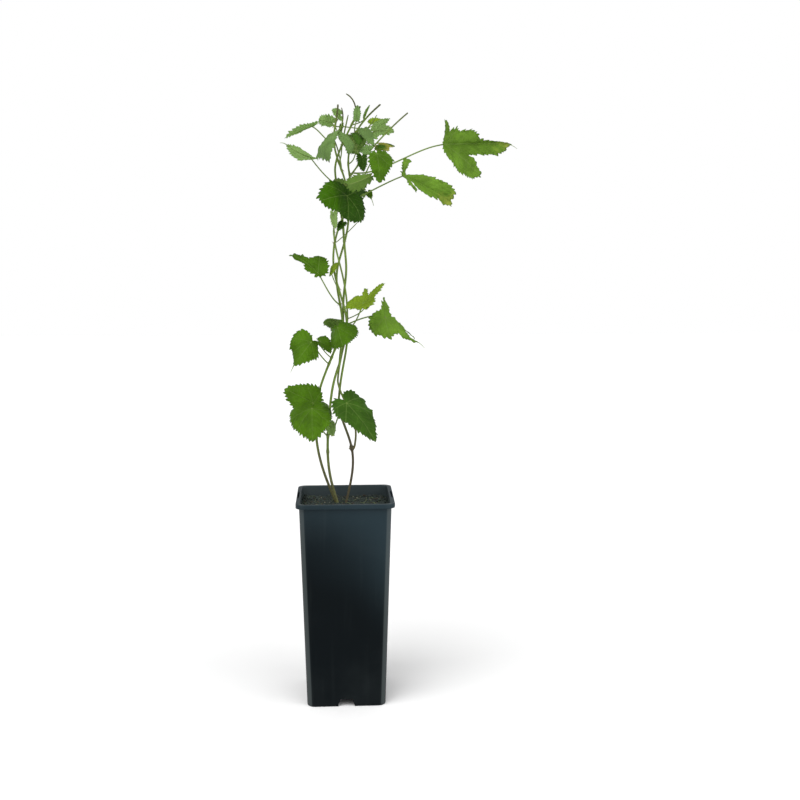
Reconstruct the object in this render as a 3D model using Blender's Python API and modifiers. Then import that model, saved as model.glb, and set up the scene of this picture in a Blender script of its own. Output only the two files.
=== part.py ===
"""Young hop bine in a tall square nursery pot.

Four slender stems climb out of the soil, meet above the pot and twine round one another.
Every leaf hangs from its own stalk, and the stems end high up in cut stubs.
Sizes are in millimetres, angles in degrees; X is to the right, Y to the back and Z up.
The origin is the middle of the pot's flat underside.
"""
import math
from dataclasses import dataclass

import bmesh
import bpy
import numpy as np
from mathutils import Vector

MM = 0.001
CLEAR = 0.3  # room left between neighbouring solids

# The pot
POT_HEIGHT = 235.0
RIM_WIDTH = 110.0
RIM_HEIGHT = 5.0
POT_TOP_WIDTH = 102.6  # just under the rim
POT_BASE_WIDTH = 89.0
POT_WALL = 1.3
POT_FLOOR = 1.6
CORNER_RADIUS = 9.0
DRAIN_TOP, DRAIN_BOTTOM = 14.0, 19.0  # widths of a drain notch
DRAIN_HEIGHT = 8.5
DRAIN_LENGTH = 30.0
SLOT_LENGTH, SLOT_WIDTH, SLOT_DEPTH = 34.0, 1.8, 4.0  # the blind slots in two sides of the rim

# The soil
SOIL_TOP = 223.0

# The stems
TWINE_START = 368.0  # height at which the stems have met
TWINE_PITCH = 190.0  # rise of one full turn
TWINE_TIGHT, TWINE_LOOSE = 3.3, 7.5  # its radius low down and high up
TWINE_OPENS = 430.0, 500.0  # heights between which it grows
TWINE_SWELL = 0.15  # part by which that radius comes and goes
STEM_RADIUS = 1.5
STEM_TAPER = 0.35  # part of the radius lost from foot to tip
STEM_STEP = 9.0  # length of one section of a stem's solid

# The leaves
LEAF_THICKNESS = 0.7
LEAF_SINUS, LEAF_LOBE, LEAF_WAIST, LEAF_BASAL = 33.0, 60.0, 93.0, 126.0  # angles from the midrib
STALK_RADIUS = 0.65
STALK_SECTIONS = 6
TWIG_SECTIONS = 5
SMALL_LEAF = 25.0  # a leaf shorter than this has a coarser blade
BLADE_SPOKES = 14, 20, 60  # for a small, a large and a deeply cut leaf
BLADE_RINGS = 2
STRIP_BLUNTNESS = 2.5  # of the end of an even lobe, on a deeply cut leaf
STRIP_JOINING = 6.0  # how tightly its lobes join, the more the tighter


@dataclass
class Bine:
    """A stem: its foot, how far it bows out on its way to the others, and its cut tip."""

    name: str
    foot: tuple
    join: float  # height at which it has joined the twine
    bow: float
    phase: float
    tip: tuple
    leave: float  # height at which it leaves the twine for its tip
    swell: float = 0.0  # where along it the twine's radius is widest
    radius: float = STEM_RADIUS


@dataclass
class Leaf:
    """A leaf: the place of its stalk's end, the way its midrib points, and its shape."""

    name: str
    at: tuple
    length: float
    heading: float  # of the midrib, seen from above: 0 is right, 90 is back
    pitch: float  # of the midrib, above the horizontal
    roll: float  # about the midrib, the left half lifted
    stalk: float  # height at which its stalk leaves the stems
    width: float = 1.0
    left: float = 1.0
    right: float = 1.0
    lobes: float = 0.0  # 0 is heart-shaped, 1 deeply three-lobed
    spread: float = 1.0  # how wide the side lobes stand
    base: float = 1.0  # size of the two lobes beside the stalk
    tip: float = 0.0  # length of the drawn-out tip
    fold: float = 0.0  # each half turned up along the midrib
    droop: float = 30.0  # bend along the midrib
    arch: float = 20.0  # bend across it
    twist: float = 0.0
    bine: str = ""  # the stem it grows from, where it isn't the nearest
    fingers: tuple = ()  # angle, reach and half-width of each lobe of a deeply cut leaf
    flare: float = 1.0  # 1 for lobes of even width, more for lobes that widen to their ends


@dataclass
class Twig:
    """A cut stub or tendril: where it leaves its stem, the way it heads, and its end."""

    name: str
    bine: str
    leave: float  # height
    way: tuple
    end: tuple
    radius: float


BINES = [
    Bine("bine_left", (-10, 10, SOIL_TOP), 425, -27, 340, (-5, 8, 671), 590, 0.0),
    Bine("bine_front", (-8, 4, SOIL_TOP), 385, -16, 250, (19, -2, 668), 600, 0.3),
    Bine("bine_right", (1, 9, SOIL_TOP), 335, 9, 70, (41, -4, 670), 600, 0.6),
    Bine("bine_branch", (11, 7, 288), 365, 5, 160, (72, 10, 663), 570, 0.8, 1.3),
]

TWIGS = [
    Twig("twig_hook", "bine_front", 662, (14, -8, 676), (4, -6, 681), 0.8),
    Twig("twig_left", "bine_left", 636, (4, 6, 652), (-1, 2, 667), 0.9),
    Twig("twig_middle", "bine_front", 628, (2, -12, 641), (6, -9, 658), 0.8),
    Twig("twig_right", "bine_right", 640, (27, 16, 641), (38, 14, 661), 0.8),
    Twig("twig_tendril", "bine_right", 520, (2, -19, 528), (16, -17, 543), 0.5),
]

LEAVES = [
    # low down, a pair of large hearts with their companions
    Leaf("leaf_low_left", (-36, -30, 339), 50, -90, -28, 5, 303, 1.1, 0.95, 1.2,
         tip=0.2, fold=-15, droop=30, arch=25, twist=15, bine="bine_front"),
    Leaf("leaf_low_left_back", (-35, -3, 341), 40, 165, 27, -60, 330, 1.3, 0.8, 0.8, base=0.4,
         fold=10, droop=15, arch=15, bine="bine_left"),
    Leaf("leaf_low_right", (2, -25, 344), 58, -40, -35, 20, 303, 1.0, 1.1, 0.75,
         base=0.6, fold=10, droop=25, arch=50, twist=-20, bine="bine_front"),
    Leaf("leaf_low_young", (-17, -13, 317), 14, -60, -50, 20, 284, fold=15, bine="bine_front"),
    Leaf("leaf_low_behind", (-38, 36, 333), 38, 100, -30, 0, 316, 1.05, bine="bine_left"),
    # half way up
    Leaf("leaf_heart", (-36, -28, 412), 41, -115, -25, -40, 385, 1.1, 0.85, 1.3,
         base=0.8, tip=0.3, fold=-20, droop=45, arch=25, twist=55),
    Leaf("leaf_heart_side", (-27, -6, 411), 21, -40, -15, 25, 392, 1.0, 1.15, 0.75,
         fold=10, droop=75, arch=15, twist=-10),
    Leaf("leaf_mid_centre", (-7, -28, 428), 33, -85, -25, 30, 402, 1.3, 1.15, 1.2,
         fold=-30, droop=25, arch=20),
    Leaf("leaf_mid_centre_left", (-9, -8, 435), 16, -165, -5, 25, 415, 1.15, 0.95, 1.3,
         fold=-5, droop=15, arch=25, twist=45),
    Leaf("leaf_mid_behind", (0, 34, 424), 32, 85, -30, 0, 405),
    Leaf("leaf_mid_yellow", (21, -23, 454), 42, 20, 40, 25, 425,
         fold=5, droop=-5, arch=25, twist=15,
         fingers=((0, 0.8, 0.1), (40, 0.55, 0.07), (-30, 0.35, 0.26), (110, 0.65, 0.27))),
    Leaf("leaf_mid_yellow_small", (24, 6, 450), 13, 60, 50, 0, 436, fold=20),
    Leaf("leaf_mid_right", (46, -2, 438), 53, 5, -45, 70, 430,
         fold=-10, droop=-40, arch=60, twist=-45,
         fingers=((0, 0.95, 0.09), (25, 0.75, 0.12), (-35, 0.45, 0.22), (-85, 0.45, 0.26),
                  (120, 0.45, 0.13))),
    Leaf("leaf_mid_left", (-28, -14, 487), 48, 150, 35, -35, 452,
         fold=35, droop=30, arch=60, twist=20,
         fingers=((-5, 1.05, 0.13), (25, 0.35, 0.19), (-50, 0.6, 0.25), (110, 0.15, 0.15))),
    Leaf("leaf_mid_left_bud", (-14, -7, 489), 13, 15, 65, 5, 470, 1.15, droop=30, twist=35),
    # the big leaf that hangs in front, and what stands round it
    Leaf("leaf_centre_big", (4, -34, 570), 53, -85, -50, -30, 548,
         fold=20, droop=40, arch=40, twist=-5,
         fingers=((5, 0.55, 0.32), (40, 0.6, 0.32), (-60, 0.75, 0.36), (-95, 0.5, 0.29),
                  (130, 0.6, 0.11))),
    Leaf("leaf_centre_folded", (28, -48, 590), 45, 210, -25, 110, 584, 0.4, 0.5, 0.65,
         fold=40, droop=50, arch=35, twist=-10),
    Leaf("leaf_centre_shoot", (28, 6, 576), 9, -55, -45, 30, 552, fold=10, droop=30),
    Leaf("leaf_centre_low", (-11, -16, 551), 17, -85, -75, 55, 532, 0.8, droop=25, arch=15),
    Leaf("leaf_centre_low_small", (-1, -14, 542), 12, -125, -35, -20, 522, 0.85, droop=40),
    Leaf("leaf_centre_behind", (4, 36, 584), 44, 95, -35, 0, 552, 1.05),
    # the two long-stalked leaves on the right and the two on the left
    Leaf("leaf_right_far", (114, 15, 630), 95, 45, 5, 95, 598,
         fold=30, droop=-30, arch=35, twist=10,
         fingers=((0, 1.0, 0.06), (-5, 0.93, 0.1), (12, 0.52, 0.1), (24, 0.42, 0.06),
                  (50, 0.25, 0.1), (108, 0.31, 0.06), (-34, 0.66, 0.1), (-44, 0.58, 0.1),
                  (-57, 0.4, 0.12))),
    Leaf("leaf_right_low", (66, -12, 593), 60, -25, -20, 30, 566,
         fold=30, droop=20, arch=25, twist=30,
         fingers=((-1, 0.82, 0.36), (8, 0.97, 0.16), (-3, 1.05, 0.12), (110, 0.45, 0.09),
                  (-40, 0.6, 0.05)),
         flare=4.0),
    Leaf("leaf_left_narrow", (-34, 2, 647), 36, 200, -20, 15, 628, 0.7, 0.75, 0.7,
         tip=0.2, fold=15, droop=10, arch=5, twist=25),
    Leaf("leaf_left_low", (-36, -10, 613), 32, 200, 15, 0, 585, 1.0, 0.75, 1.2,
         base=0.8, tip=0.3, fold=5, droop=-20, arch=25, twist=40),
    # the crowded top
    Leaf("leaf_left_pale", (-12, 30, 654), 26, 225, 10, 50, 630, 0.55,
         fold=25, droop=25, arch=15, twist=30),
    Leaf("leaf_left_small", (-3, 15, 662), 14, 130, 25, 70, 654, droop=15),
    Leaf("leaf_left_hanging", (-2, 20, 650), 9, 105, -65, -40, 640),
    Leaf("leaf_left_droop", (-14, -32, 634), 43, -110, -30, 30, 600, 1.1, 0.55, 1.4,
         base=0.7, tip=0.3, fold=-5, droop=50, arch=20, twist=15),
    Leaf("leaf_centre_droop", (3, -28, 634), 24, -55, -45, -15, 608, 1.1, 1.0, 0.9,
         lobes=0.2, base=0.6, droop=45, arch=25, twist=10),
    Leaf("leaf_top_back", (17, -11, 638), 22, -85, -20, -15, 607, 0.9, 0.55, 0.9,
         fold=-10, droop=45, bine="bine_right"),
    Leaf("leaf_top_dark", (24, -16, 642), 23, -55, -40, 25, 624, 0.7, 0.85, 0.95,
         fold=-10, droop=45, arch=25, twist=-10, bine="bine_branch"),
    Leaf("leaf_top_pale", (35, 20, 644), 28, 45, 15, -55, 618, 1.05, 0.55, 1.3,
         lobes=0.5, base=0.6, droop=45, arch=15, twist=15),
    Leaf("leaf_top_yellow", (37, 44, 656), 16, 50, 30, 15, 648, fold=35, droop=25, arch=15,
         bine="bine_left"),
    Leaf("leaf_top_brown", (43, 16, 630), 17, 10, 0, 30, 606, 1.05, 0.7, 1.3,
         lobes=0.3, fold=-5, droop=15),
    Leaf("leaf_right_dark", (36, -34, 615), 41, -80, -40, -10, 572, 1.0, 1.0, 0.3,
         base=0.7, fold=-5, droop=35, arch=5),
    Leaf("leaf_top_low", (21, -5, 614), 19, -80, -65, 0, 596, 0.65, fold=-15, droop=5),
    Leaf("leaf_top_small", (27, -25, 619), 12, 160, 5, -65, 621, lobes=0.2, fold=20, droop=25),
    Leaf("leaf_top_behind", (12, 44, 640), 32, 80, -20, 0, 612),
    Leaf("leaf_tip_young", (15, -12, 653), 18, 70, 75, 20, 640, 0.4, fold=25, droop=10),
    Leaf("leaf_tip_side", (24, -10, 656), 15, 20, 70, -30, 650, 0.5, fold=25, droop=15,
         bine="bine_front"),
]


# ---------------------------------------------------------------- rules shared by the pieces
def smooth(t):
    t = np.clip(t, 0.0, 1.0)
    return t * t * (3.0 - 2.0 * t)


def twine_axis(z):
    """The slender line that the stems wind about, which sways a little as it climbs."""
    sway = 2 * math.pi * (z - 390.0) / 150.0
    return np.stack([-2.0 + 3.0 * np.sin(sway), 6.0 + 1.5 * np.cos(sway), z], -1)


def bine_point(bine, z):
    """Centre of a stem at height z: foot and bow below, twine in the middle, tip above."""
    z = np.asarray(z, float)
    turn = math.radians(bine.phase) - 2 * math.pi * (z - TWINE_START) / TWINE_PITCH
    swell = 1.0 + TWINE_SWELL * np.sin(2 * math.pi * (z / 120.0 + bine.swell))
    opened = smooth((z - TWINE_OPENS[0]) / (TWINE_OPENS[1] - TWINE_OPENS[0]))
    radius = swell * (TWINE_TIGHT + (TWINE_LOOSE - TWINE_TIGHT) * opened)
    wind = np.stack([np.cos(turn), np.sin(turn), 0 * turn], -1)
    twined = twine_axis(z) + wind * radius[..., None]
    rise = (z - bine.foot[2]) / (bine.join - bine.foot[2])
    share = smooth(rise)[..., None]
    foot = np.array([bine.foot[0], bine.foot[1], 0.0]) * [1, 1, 0] + z[..., None] * [0, 0, 1]
    path = foot * (1 - share) + twined * share
    bow = bine.bow * np.sin(math.pi * np.clip(rise, 0, 1))
    path = path + bow[..., None] * [1, 0, 0]
    away = np.clip((z - bine.leave) / (bine.tip[2] - bine.leave), 0, 1) ** 1.6
    tip = np.array([bine.tip[0], bine.tip[1], 0.0]) + z[..., None] * [0, 0, 1]
    return path * (1 - away)[..., None] + tip * away[..., None]


def bine_radius(bine, z):
    share = (z - SOIL_TOP) / (bine.tip[2] - SOIL_TOP)
    return bine.radius * (1 - STEM_TAPER * share)


def hill(angle, centre, width, power=2.0):
    """1 at the centre and falling away on both sides of it; all three are angles in degrees."""
    return np.exp(-np.abs((np.degrees(angle) - centre) / width) ** power)


def fingered_outline(leaf, angle):
    """The margin of a deeply cut leaf: blunt strips softly joined.

    A strip's margin lies at its half-width over the sine of the angle from its middle, and no
    further than its reach; behind the stalk's end it draws in. A flare narrows its foot.
    """
    blunt = STRIP_BLUNTNESS * math.sqrt(leaf.flare)
    total = 0.05 ** STRIP_JOINING + 0 * angle
    for heading, reach, half in leaf.fingers:
        off = angle - math.radians(heading)
        aside = np.where(np.cos(off) > 0, np.abs(np.sin(off)), 1 - 1.5 * np.cos(off))
        ratio = reach * aside / half
        strip = reach * (1 + ratio ** blunt) ** (-leaf.flare / blunt)
        total = total + strip ** STRIP_JOINING
    return total ** (1 / STRIP_JOINING)


def leaf_outline(leaf, angle):
    """Distance of the margin from the stalk's end, as a part of the length.

    The angle is 0 at the tip and positive to the left. A blunt heart has a pointed tip added,
    then hollows beside the middle lobe and swellings for the side lobes, and a notch behind.
    """
    if leaf.fingers:
        return fingered_outline(leaf, angle)
    off = np.abs(angle)
    share = 0.5 + 0.5 * np.sin(angle)
    half = 0.47 * leaf.width * (leaf.right + (leaf.left - leaf.right) * share)
    margin = half + (1 - half) * hill(off, 0, 29, 1.15)
    sinus, lobe, waist = (leaf.spread * a for a in (LEAF_SINUS, LEAF_LOBE, LEAF_WAIST))
    hollow = 0.42 * hill(off, sinus, 11.5) + 0.22 * hill(off, waist, 14)
    margin = margin * (1 - leaf.lobes * hollow)
    margin = margin + 0.72 * leaf.lobes * half * hill(off, lobe, 12, 1.3)
    margin = margin + (0.13 + 0.3 * leaf.lobes) * half * hill(off, LEAF_BASAL * leaf.spread, 24)
    behind = np.clip((off - math.radians(75)) / math.radians(60), 0, 1)
    margin = margin * (1 - (1 - leaf.base) * behind)
    point = 0.25 * leaf.tip
    margin = margin * (1 - point) + point * hill(off, 0, 4, 1.0)
    return margin * (1 - 0.8 * np.exp(-(((math.pi - off) / 0.34) ** 2)))


def leaf_bend(leaf, along, across):
    """Bend a flat blade: folded and arched across, twisted and drooping along."""
    fold, droop, arch, twist = (math.radians(a) + 1e-6 for a in
                                (leaf.fold, leaf.droop, leaf.arch, leaf.twist))
    turned = fold - 2 * arch * np.abs(across)
    side = np.sign(across) * (math.sin(fold) - np.sin(turned)) / (2 * arch)
    lift = (np.cos(turned) - math.cos(fold)) / (2 * arch)
    spin = twist * along
    side, lift = (side * np.cos(spin) - lift * np.sin(spin),
                  side * np.sin(spin) + lift * np.cos(spin))
    bend = droop * along
    return np.stack([np.sin(bend) * (1 / droop + lift), side,
                     np.cos(bend) * (1 / droop + lift) - 1 / droop], -1) * leaf.length


def leaf_axes(leaf):
    """Unit vectors along the midrib, to the left of it, and out of the upper face."""
    heading, pitch, roll = (math.radians(a) for a in (leaf.heading, leaf.pitch, leaf.roll))
    along = np.array([math.cos(pitch) * math.cos(heading), math.cos(pitch) * math.sin(heading),
                      math.sin(pitch)])
    level = np.array([-math.sin(heading), math.cos(heading), 0.0])
    upper = np.cross(along, level)
    return np.array([along, level * math.cos(roll) + upper * math.sin(roll),
                     upper * math.cos(roll) - level * math.sin(roll)])


def stalk_bine(leaf):
    """The stem that a stalk grows from: the named one, or the one nearest to the leaf."""
    if leaf.bine:
        return next(b for b in BINES if b.name == leaf.bine)
    place = np.array(leaf.at[:2])
    reach = [b for b in BINES if leaf.stalk > b.foot[2] + 5 and leaf.stalk < b.tip[2]]
    return min(reach, key=lambda b: np.linalg.norm(bine_point(b, leaf.stalk)[:2] - place))


def way_out(bine, z, place):
    """Unit vector from a stem at height z towards a place, square to the stem."""
    root = bine_point(bine, z)
    along = bine_point(bine, z + 1.0) - bine_point(bine, z - 1.0)
    along = along / np.linalg.norm(along)
    out = place - root
    out = out - along * (out @ along)
    return out / np.linalg.norm(out)


def stalk_path(leaf):
    """A stalk leaves its stem sideways, arcs up and comes into the blade from behind."""
    bine = stalk_bine(leaf)
    axes = leaf_axes(leaf)
    root = bine_point(bine, leaf.stalk)
    end = np.array(leaf.at, float)
    out = way_out(bine, leaf.stalk, end)
    start = root + out * (bine_radius(bine, leaf.stalk) + CLEAR + 0.35 * STALK_RADIUS)
    reach = np.linalg.norm(end - start)
    first = start + out * 0.3 * reach + np.array([0, 0, 0.12 * reach])
    last = end - (0.7 * axes[0] + 0.5 * axes[2]) * 0.3 * reach
    t = np.linspace(0, 1, STALK_SECTIONS + 1)[:, None]
    arc = ((1 - t) ** 3 * start + 3 * t * (1 - t) ** 2 * first
           + 3 * t * t * (1 - t) * last + t ** 3 * end)
    inside = end + axes[0] * 0.05 * leaf.length
    return np.vstack([arc, inside])


def twig_path(twig):
    """A twig starts just clear of its stem, heads the way given and bends to its end."""
    bine = next(b for b in BINES if b.name == twig.bine)
    root = bine_point(bine, twig.leave)
    way, end = np.array(twig.way, float), np.array(twig.end, float)
    out = way_out(bine, twig.leave, way)
    start = root + out * (bine_radius(bine, twig.leave) + CLEAR + 0.5 * twig.radius)
    t = np.linspace(0, 1, TWIG_SECTIONS + 1)[:, None]
    return (1 - t) ** 2 * start + 2 * t * (1 - t) * way + t ** 2 * end


# ---------------------------------------------------------------- Blender helpers
def clear_scene():
    for ob in list(bpy.data.objects):
        bpy.data.objects.remove(ob, do_unlink=True)


def material(name, colour, roughness):
    mat = bpy.data.materials.new(name)
    mat.use_nodes = True
    shader = mat.node_tree.nodes["Principled BSDF"]
    shader.inputs["Base Color"].default_value = (*colour, 1.0)
    shader.inputs["Roughness"].default_value = roughness
    return mat


def finish(ob, name, colour, roughness=0.6):
    ob.name = name
    ob.data.name = name
    ob.data.materials.clear()
    ob.data.materials.append(material(name, colour, roughness))
    return ob


def modify(ob, kind, **settings):
    mod = ob.modifiers.new(kind.lower(), kind)
    for key, value in settings.items():
        setattr(mod, key, value)
    return mod


def freeze(ob):
    """Apply every modifier by taking the evaluated mesh."""
    graph = bpy.context.evaluated_depsgraph_get()
    mesh = bpy.data.meshes.new_from_object(ob.evaluated_get(graph))
    frozen = bpy.data.objects.new(ob.name, mesh)
    frozen.matrix_world = ob.matrix_world.copy()
    bpy.context.scene.collection.objects.link(frozen)
    bpy.data.objects.remove(ob, do_unlink=True)
    return frozen


def combine(ob, others, operation, solver="EXACT"):
    """One Boolean of ob with a collection of other objects, applied."""
    group = bpy.data.collections.new("cutters")
    for other in others:
        group.objects.link(other)
        other.hide_render = True
        other.display_type = "WIRE"
    modify(ob, "BOOLEAN", operation=operation, solver=solver, operand_type="COLLECTION",
           collection=group)
    result = freeze(ob)
    for other in list(group.objects):
        bpy.data.objects.remove(other, do_unlink=True)
    bpy.data.collections.remove(group)
    return result


def tube(points, radii, sides=1):
    """A tube along a path, from a bevelled curve with filled ends: 4 sides and 2 more for each."""
    curve = bpy.data.curves.new("tube", "CURVE")
    curve.dimensions = "3D"
    curve.bevel_depth = MM
    curve.bevel_resolution = sides
    curve.use_fill_caps = True
    spline = curve.splines.new("POLY")
    spline.points.add(len(points) - 1)
    for point, place, radius in zip(spline.points, points, radii):
        point.co = (*(Vector(place) * MM), 1.0)
        point.radius = radius
    ob = bpy.data.objects.new("tube", curve)
    bpy.context.scene.collection.objects.link(ob)
    ob = freeze(ob)
    mesh = bmesh.new()
    mesh.from_mesh(ob.data)
    bmesh.ops.remove_doubles(mesh, verts=mesh.verts, dist=0.00001)
    bmesh.ops.recalc_face_normals(mesh, faces=mesh.faces)
    mesh.to_mesh(ob.data)
    mesh.free()
    return ob


def rounded_frustum(bottom, top, low, high, radius):
    """A square block with rounded upright edges, narrower below than above."""
    bpy.ops.mesh.primitive_cube_add(size=1.0, location=(0, 0, (low + high) / 2 * MM))
    ob = bpy.context.object
    ob.scale = (top * MM, top * MM, (high - low) * MM)
    bpy.ops.object.transform_apply(location=True, rotation=False, scale=True)
    for vertex in ob.data.vertices:
        if vertex.co.z < (low + high) / 2 * MM:
            vertex.co.x *= bottom / top
            vertex.co.y *= bottom / top
    mesh = bmesh.new()
    mesh.from_mesh(ob.data)
    upright = [e for e in mesh.edges if abs(e.verts[0].co.z - e.verts[1].co.z) > 0.5 * MM]
    bmesh.ops.bevel(mesh, geom=upright, offset=radius * MM, segments=4, profile=0.5,
                    affect="EDGES")
    mesh.to_mesh(ob.data)
    mesh.free()
    return ob


# ---------------------------------------------------------------- the nodes
def pot_width(z):
    """Outer width of the pot's body at height z."""
    return POT_BASE_WIDTH + (POT_TOP_WIDTH - POT_BASE_WIDTH) * z / (POT_HEIGHT - RIM_HEIGHT)


def drain_block(turn, grow=0.0):
    """A wedge that runs in from the middle of a side, grown all round by so much."""
    bpy.ops.mesh.primitive_cube_add(size=1.0)
    ob = bpy.context.object
    slant = (DRAIN_BOTTOM - DRAIN_TOP) / DRAIN_HEIGHT
    inner = POT_BASE_WIDTH / 2 - DRAIN_LENGTH - grow
    for vertex in ob.data.vertices:
        z = DRAIN_HEIGHT + grow if vertex.co.z > 0 else -DRAIN_HEIGHT
        vertex.co.x *= (DRAIN_BOTTOM - slant * z + 2 * grow) * MM
        vertex.co.y = -(inner if vertex.co.y > 0 else POT_BASE_WIDTH) * MM
        vertex.co.z = z * MM
    ob.rotation_euler.z = turn
    bpy.context.view_layer.update()
    return ob


def rim_slot(side):
    bpy.ops.mesh.primitive_cube_add(size=1.0)
    ob = bpy.context.object
    ob.scale = (SLOT_WIDTH * MM, SLOT_LENGTH * MM, 2 * SLOT_DEPTH * MM)
    ob.location = (side * (RIM_WIDTH / 2 - 1.9) * MM, 0, POT_HEIGHT * MM)
    bpy.context.view_layer.update()
    return ob


def make_pot():
    wall_top = pot_width(POT_HEIGHT)
    body = rounded_frustum(POT_BASE_WIDTH, wall_top, 0, POT_HEIGHT, CORNER_RADIUS)
    rim = rounded_frustum(RIM_WIDTH, RIM_WIDTH, POT_HEIGHT - RIM_HEIGHT, POT_HEIGHT,
                          CORNER_RADIUS)
    pot = combine(body, [rim], "UNION")
    inner_base = pot_width(POT_FLOOR) - 2 * POT_WALL
    inner_top = pot_width(POT_HEIGHT + 5) - 2 * POT_WALL
    hollow = rounded_frustum(inner_base, inner_top, POT_FLOOR, POT_HEIGHT + 5,
                             CORNER_RADIUS - POT_WALL)
    quarters = [k * math.pi / 2 for k in range(4)]
    hollow = combine(hollow, [drain_block(turn, POT_WALL) for turn in quarters], "DIFFERENCE")
    notches = [drain_block(turn) for turn in quarters]
    pot = combine(pot, [hollow, *notches, rim_slot(-1), rim_slot(1)], "DIFFERENCE")
    return finish(pot, "pot", (0.012, 0.02, 0.024), 0.45)


def make_soil():
    low = POT_FLOOR + CLEAR
    inset = 2 * (POT_WALL + CLEAR)
    soil = rounded_frustum(pot_width(low) - inset, pot_width(SOIL_TOP) - inset, low,
                           SOIL_TOP - CLEAR, CORNER_RADIUS - POT_WALL)
    recesses = [drain_block(k * math.pi / 2, POT_WALL + CLEAR) for k in range(4)]
    soil = combine(soil, recesses, "DIFFERENCE")
    return finish(soil, "soil", (0.035, 0.03, 0.022), 0.95)


def make_bine(bine):
    low, high = bine.foot[2] + CLEAR, bine.tip[2]
    z = np.linspace(low, high, int((high - low) / STEM_STEP) + 1)
    ob = tube(bine_point(bine, z), bine_radius(bine, z))
    return finish(ob, bine.name, (0.09, 0.14, 0.035), 0.6)


def make_twig(twig):
    path = twig_path(twig)
    ob = tube(path, np.full(len(path), twig.radius), sides=0)
    return finish(ob, twig.name, (0.09, 0.12, 0.035), 0.6)


def blade(leaf):
    """The blade: a grid rolled into a fan round the stalk's end, bent, and given thickness."""
    spokes = BLADE_SPOKES[0] if leaf.length < SMALL_LEAF else BLADE_SPOKES[1]
    if leaf.fingers:
        spokes = BLADE_SPOKES[2]
    bpy.ops.mesh.primitive_grid_add(x_subdivisions=spokes, y_subdivisions=BLADE_RINGS, size=1.0)
    ob = bpy.context.object
    flat = np.empty(len(ob.data.vertices) * 3)
    ob.data.vertices.foreach_get("co", flat)
    flat = flat.reshape(-1, 3)
    angle = flat[:, 0] * 2 * math.pi
    part = flat[:, 1] + 0.5
    margin = leaf_outline(leaf, angle) * part
    bent = leaf_bend(leaf, margin * np.cos(angle), margin * np.sin(angle))
    placed = (np.array(leaf.at) + bent @ leaf_axes(leaf)) * MM
    ob.data.vertices.foreach_set("co", placed.ravel())
    mesh = bmesh.new()
    mesh.from_mesh(ob.data)
    bmesh.ops.remove_doubles(mesh, verts=mesh.verts, dist=0.00002)
    bmesh.ops.recalc_face_normals(mesh, faces=mesh.faces)
    mesh.to_mesh(ob.data)
    mesh.free()
    modify(ob, "SOLIDIFY", thickness=LEAF_THICKNESS * MM, offset=0.0)
    return freeze(ob)


def make_leaf(leaf):
    path = stalk_path(leaf)
    stalk = tube(path, np.full(len(path), STALK_RADIUS), sides=0)
    whole = combine(blade(leaf), [stalk], "UNION", "MANIFOLD")
    return finish(whole, leaf.name, (0.09, 0.2, 0.03), 0.55)


def main():
    clear_scene()
    make_pot()
    make_soil()
    for bine in BINES:
        make_bine(bine)
    for twig in TWIGS:
        make_twig(twig)
    for leaf in LEAVES:
        make_leaf(leaf)


main()
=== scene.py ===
"""Young hop bine in a tall square nursery pot, finished for a close look.

Three slender ridged stems climb out of the soil, one of them branches low down, and all four
twine round one another. Toothed leaves with sunken veins hang from them on long stalks, and
the stems end in cut stubs. Shapes follow
the rule of the solids: sizes in the rows below are in millimetres and angles in degrees, with
X to the right, Y to the back and Z up from the middle of the pot's underside.
"""
import math
from dataclasses import dataclass

import bpy
import numpy as np
from bpy.props import FloatProperty, FloatVectorProperty, IntProperty, PointerProperty
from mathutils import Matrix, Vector


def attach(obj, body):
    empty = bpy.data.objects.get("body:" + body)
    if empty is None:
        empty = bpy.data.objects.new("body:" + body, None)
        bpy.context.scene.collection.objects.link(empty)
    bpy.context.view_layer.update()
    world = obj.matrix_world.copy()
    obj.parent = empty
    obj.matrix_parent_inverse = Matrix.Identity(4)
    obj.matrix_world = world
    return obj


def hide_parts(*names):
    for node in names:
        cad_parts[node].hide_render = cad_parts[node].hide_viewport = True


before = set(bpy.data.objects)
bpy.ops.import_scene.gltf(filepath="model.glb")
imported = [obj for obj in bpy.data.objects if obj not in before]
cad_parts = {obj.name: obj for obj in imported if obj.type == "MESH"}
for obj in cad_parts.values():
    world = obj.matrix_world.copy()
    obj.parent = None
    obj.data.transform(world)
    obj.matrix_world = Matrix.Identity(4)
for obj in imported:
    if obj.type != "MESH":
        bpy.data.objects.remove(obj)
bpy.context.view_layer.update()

bl_info = {
    "name": "Hop Bine in a Pot",
    "version": (1, 0, 0),
    "blender": (4, 5, 0),
    "location": "View3D > Sidebar > Hop",
    "description": "Makes the pot, soil, stems, twigs and leaves of a young hop, and its stage",
    "category": "Add Mesh",
}

MM = 0.001
CLEAR = 0.3
BODY = "root"

# The pot and the soil in it
RIM_HEIGHT = 5.0
POT_TOP_WIDTH = 102.6
POT_FLOOR = 1.6
CORNER_RADIUS = 9.0
LIP_RADIUS = 0.8
LIP_RINGS = 5
WALL_RINGS = 24
BLOCK_MARGIN = 6.0  # how far a cutting block stands out of the wall
SKIN_MARGIN = 0.6  # how far a block that is kept stays inside the wall's skin
DRAIN_TOP, DRAIN_BOTTOM = 14.0, 19.0
DRAIN_HEIGHT = 8.5
DRAIN_LENGTH = 30.0
SLOT_LENGTH, SLOT_WIDTH, SLOT_DEPTH = 34.0, 1.8, 4.0
SLOT_INSET = 1.9
SOIL_TOP = 223.0
SOIL_RINGS = 70
SOIL_LUMPS = (0.7, 34.0, 3), (0.5, 11.0, 4), (0.35, 4.5, 5)  # height, size and seed

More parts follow.
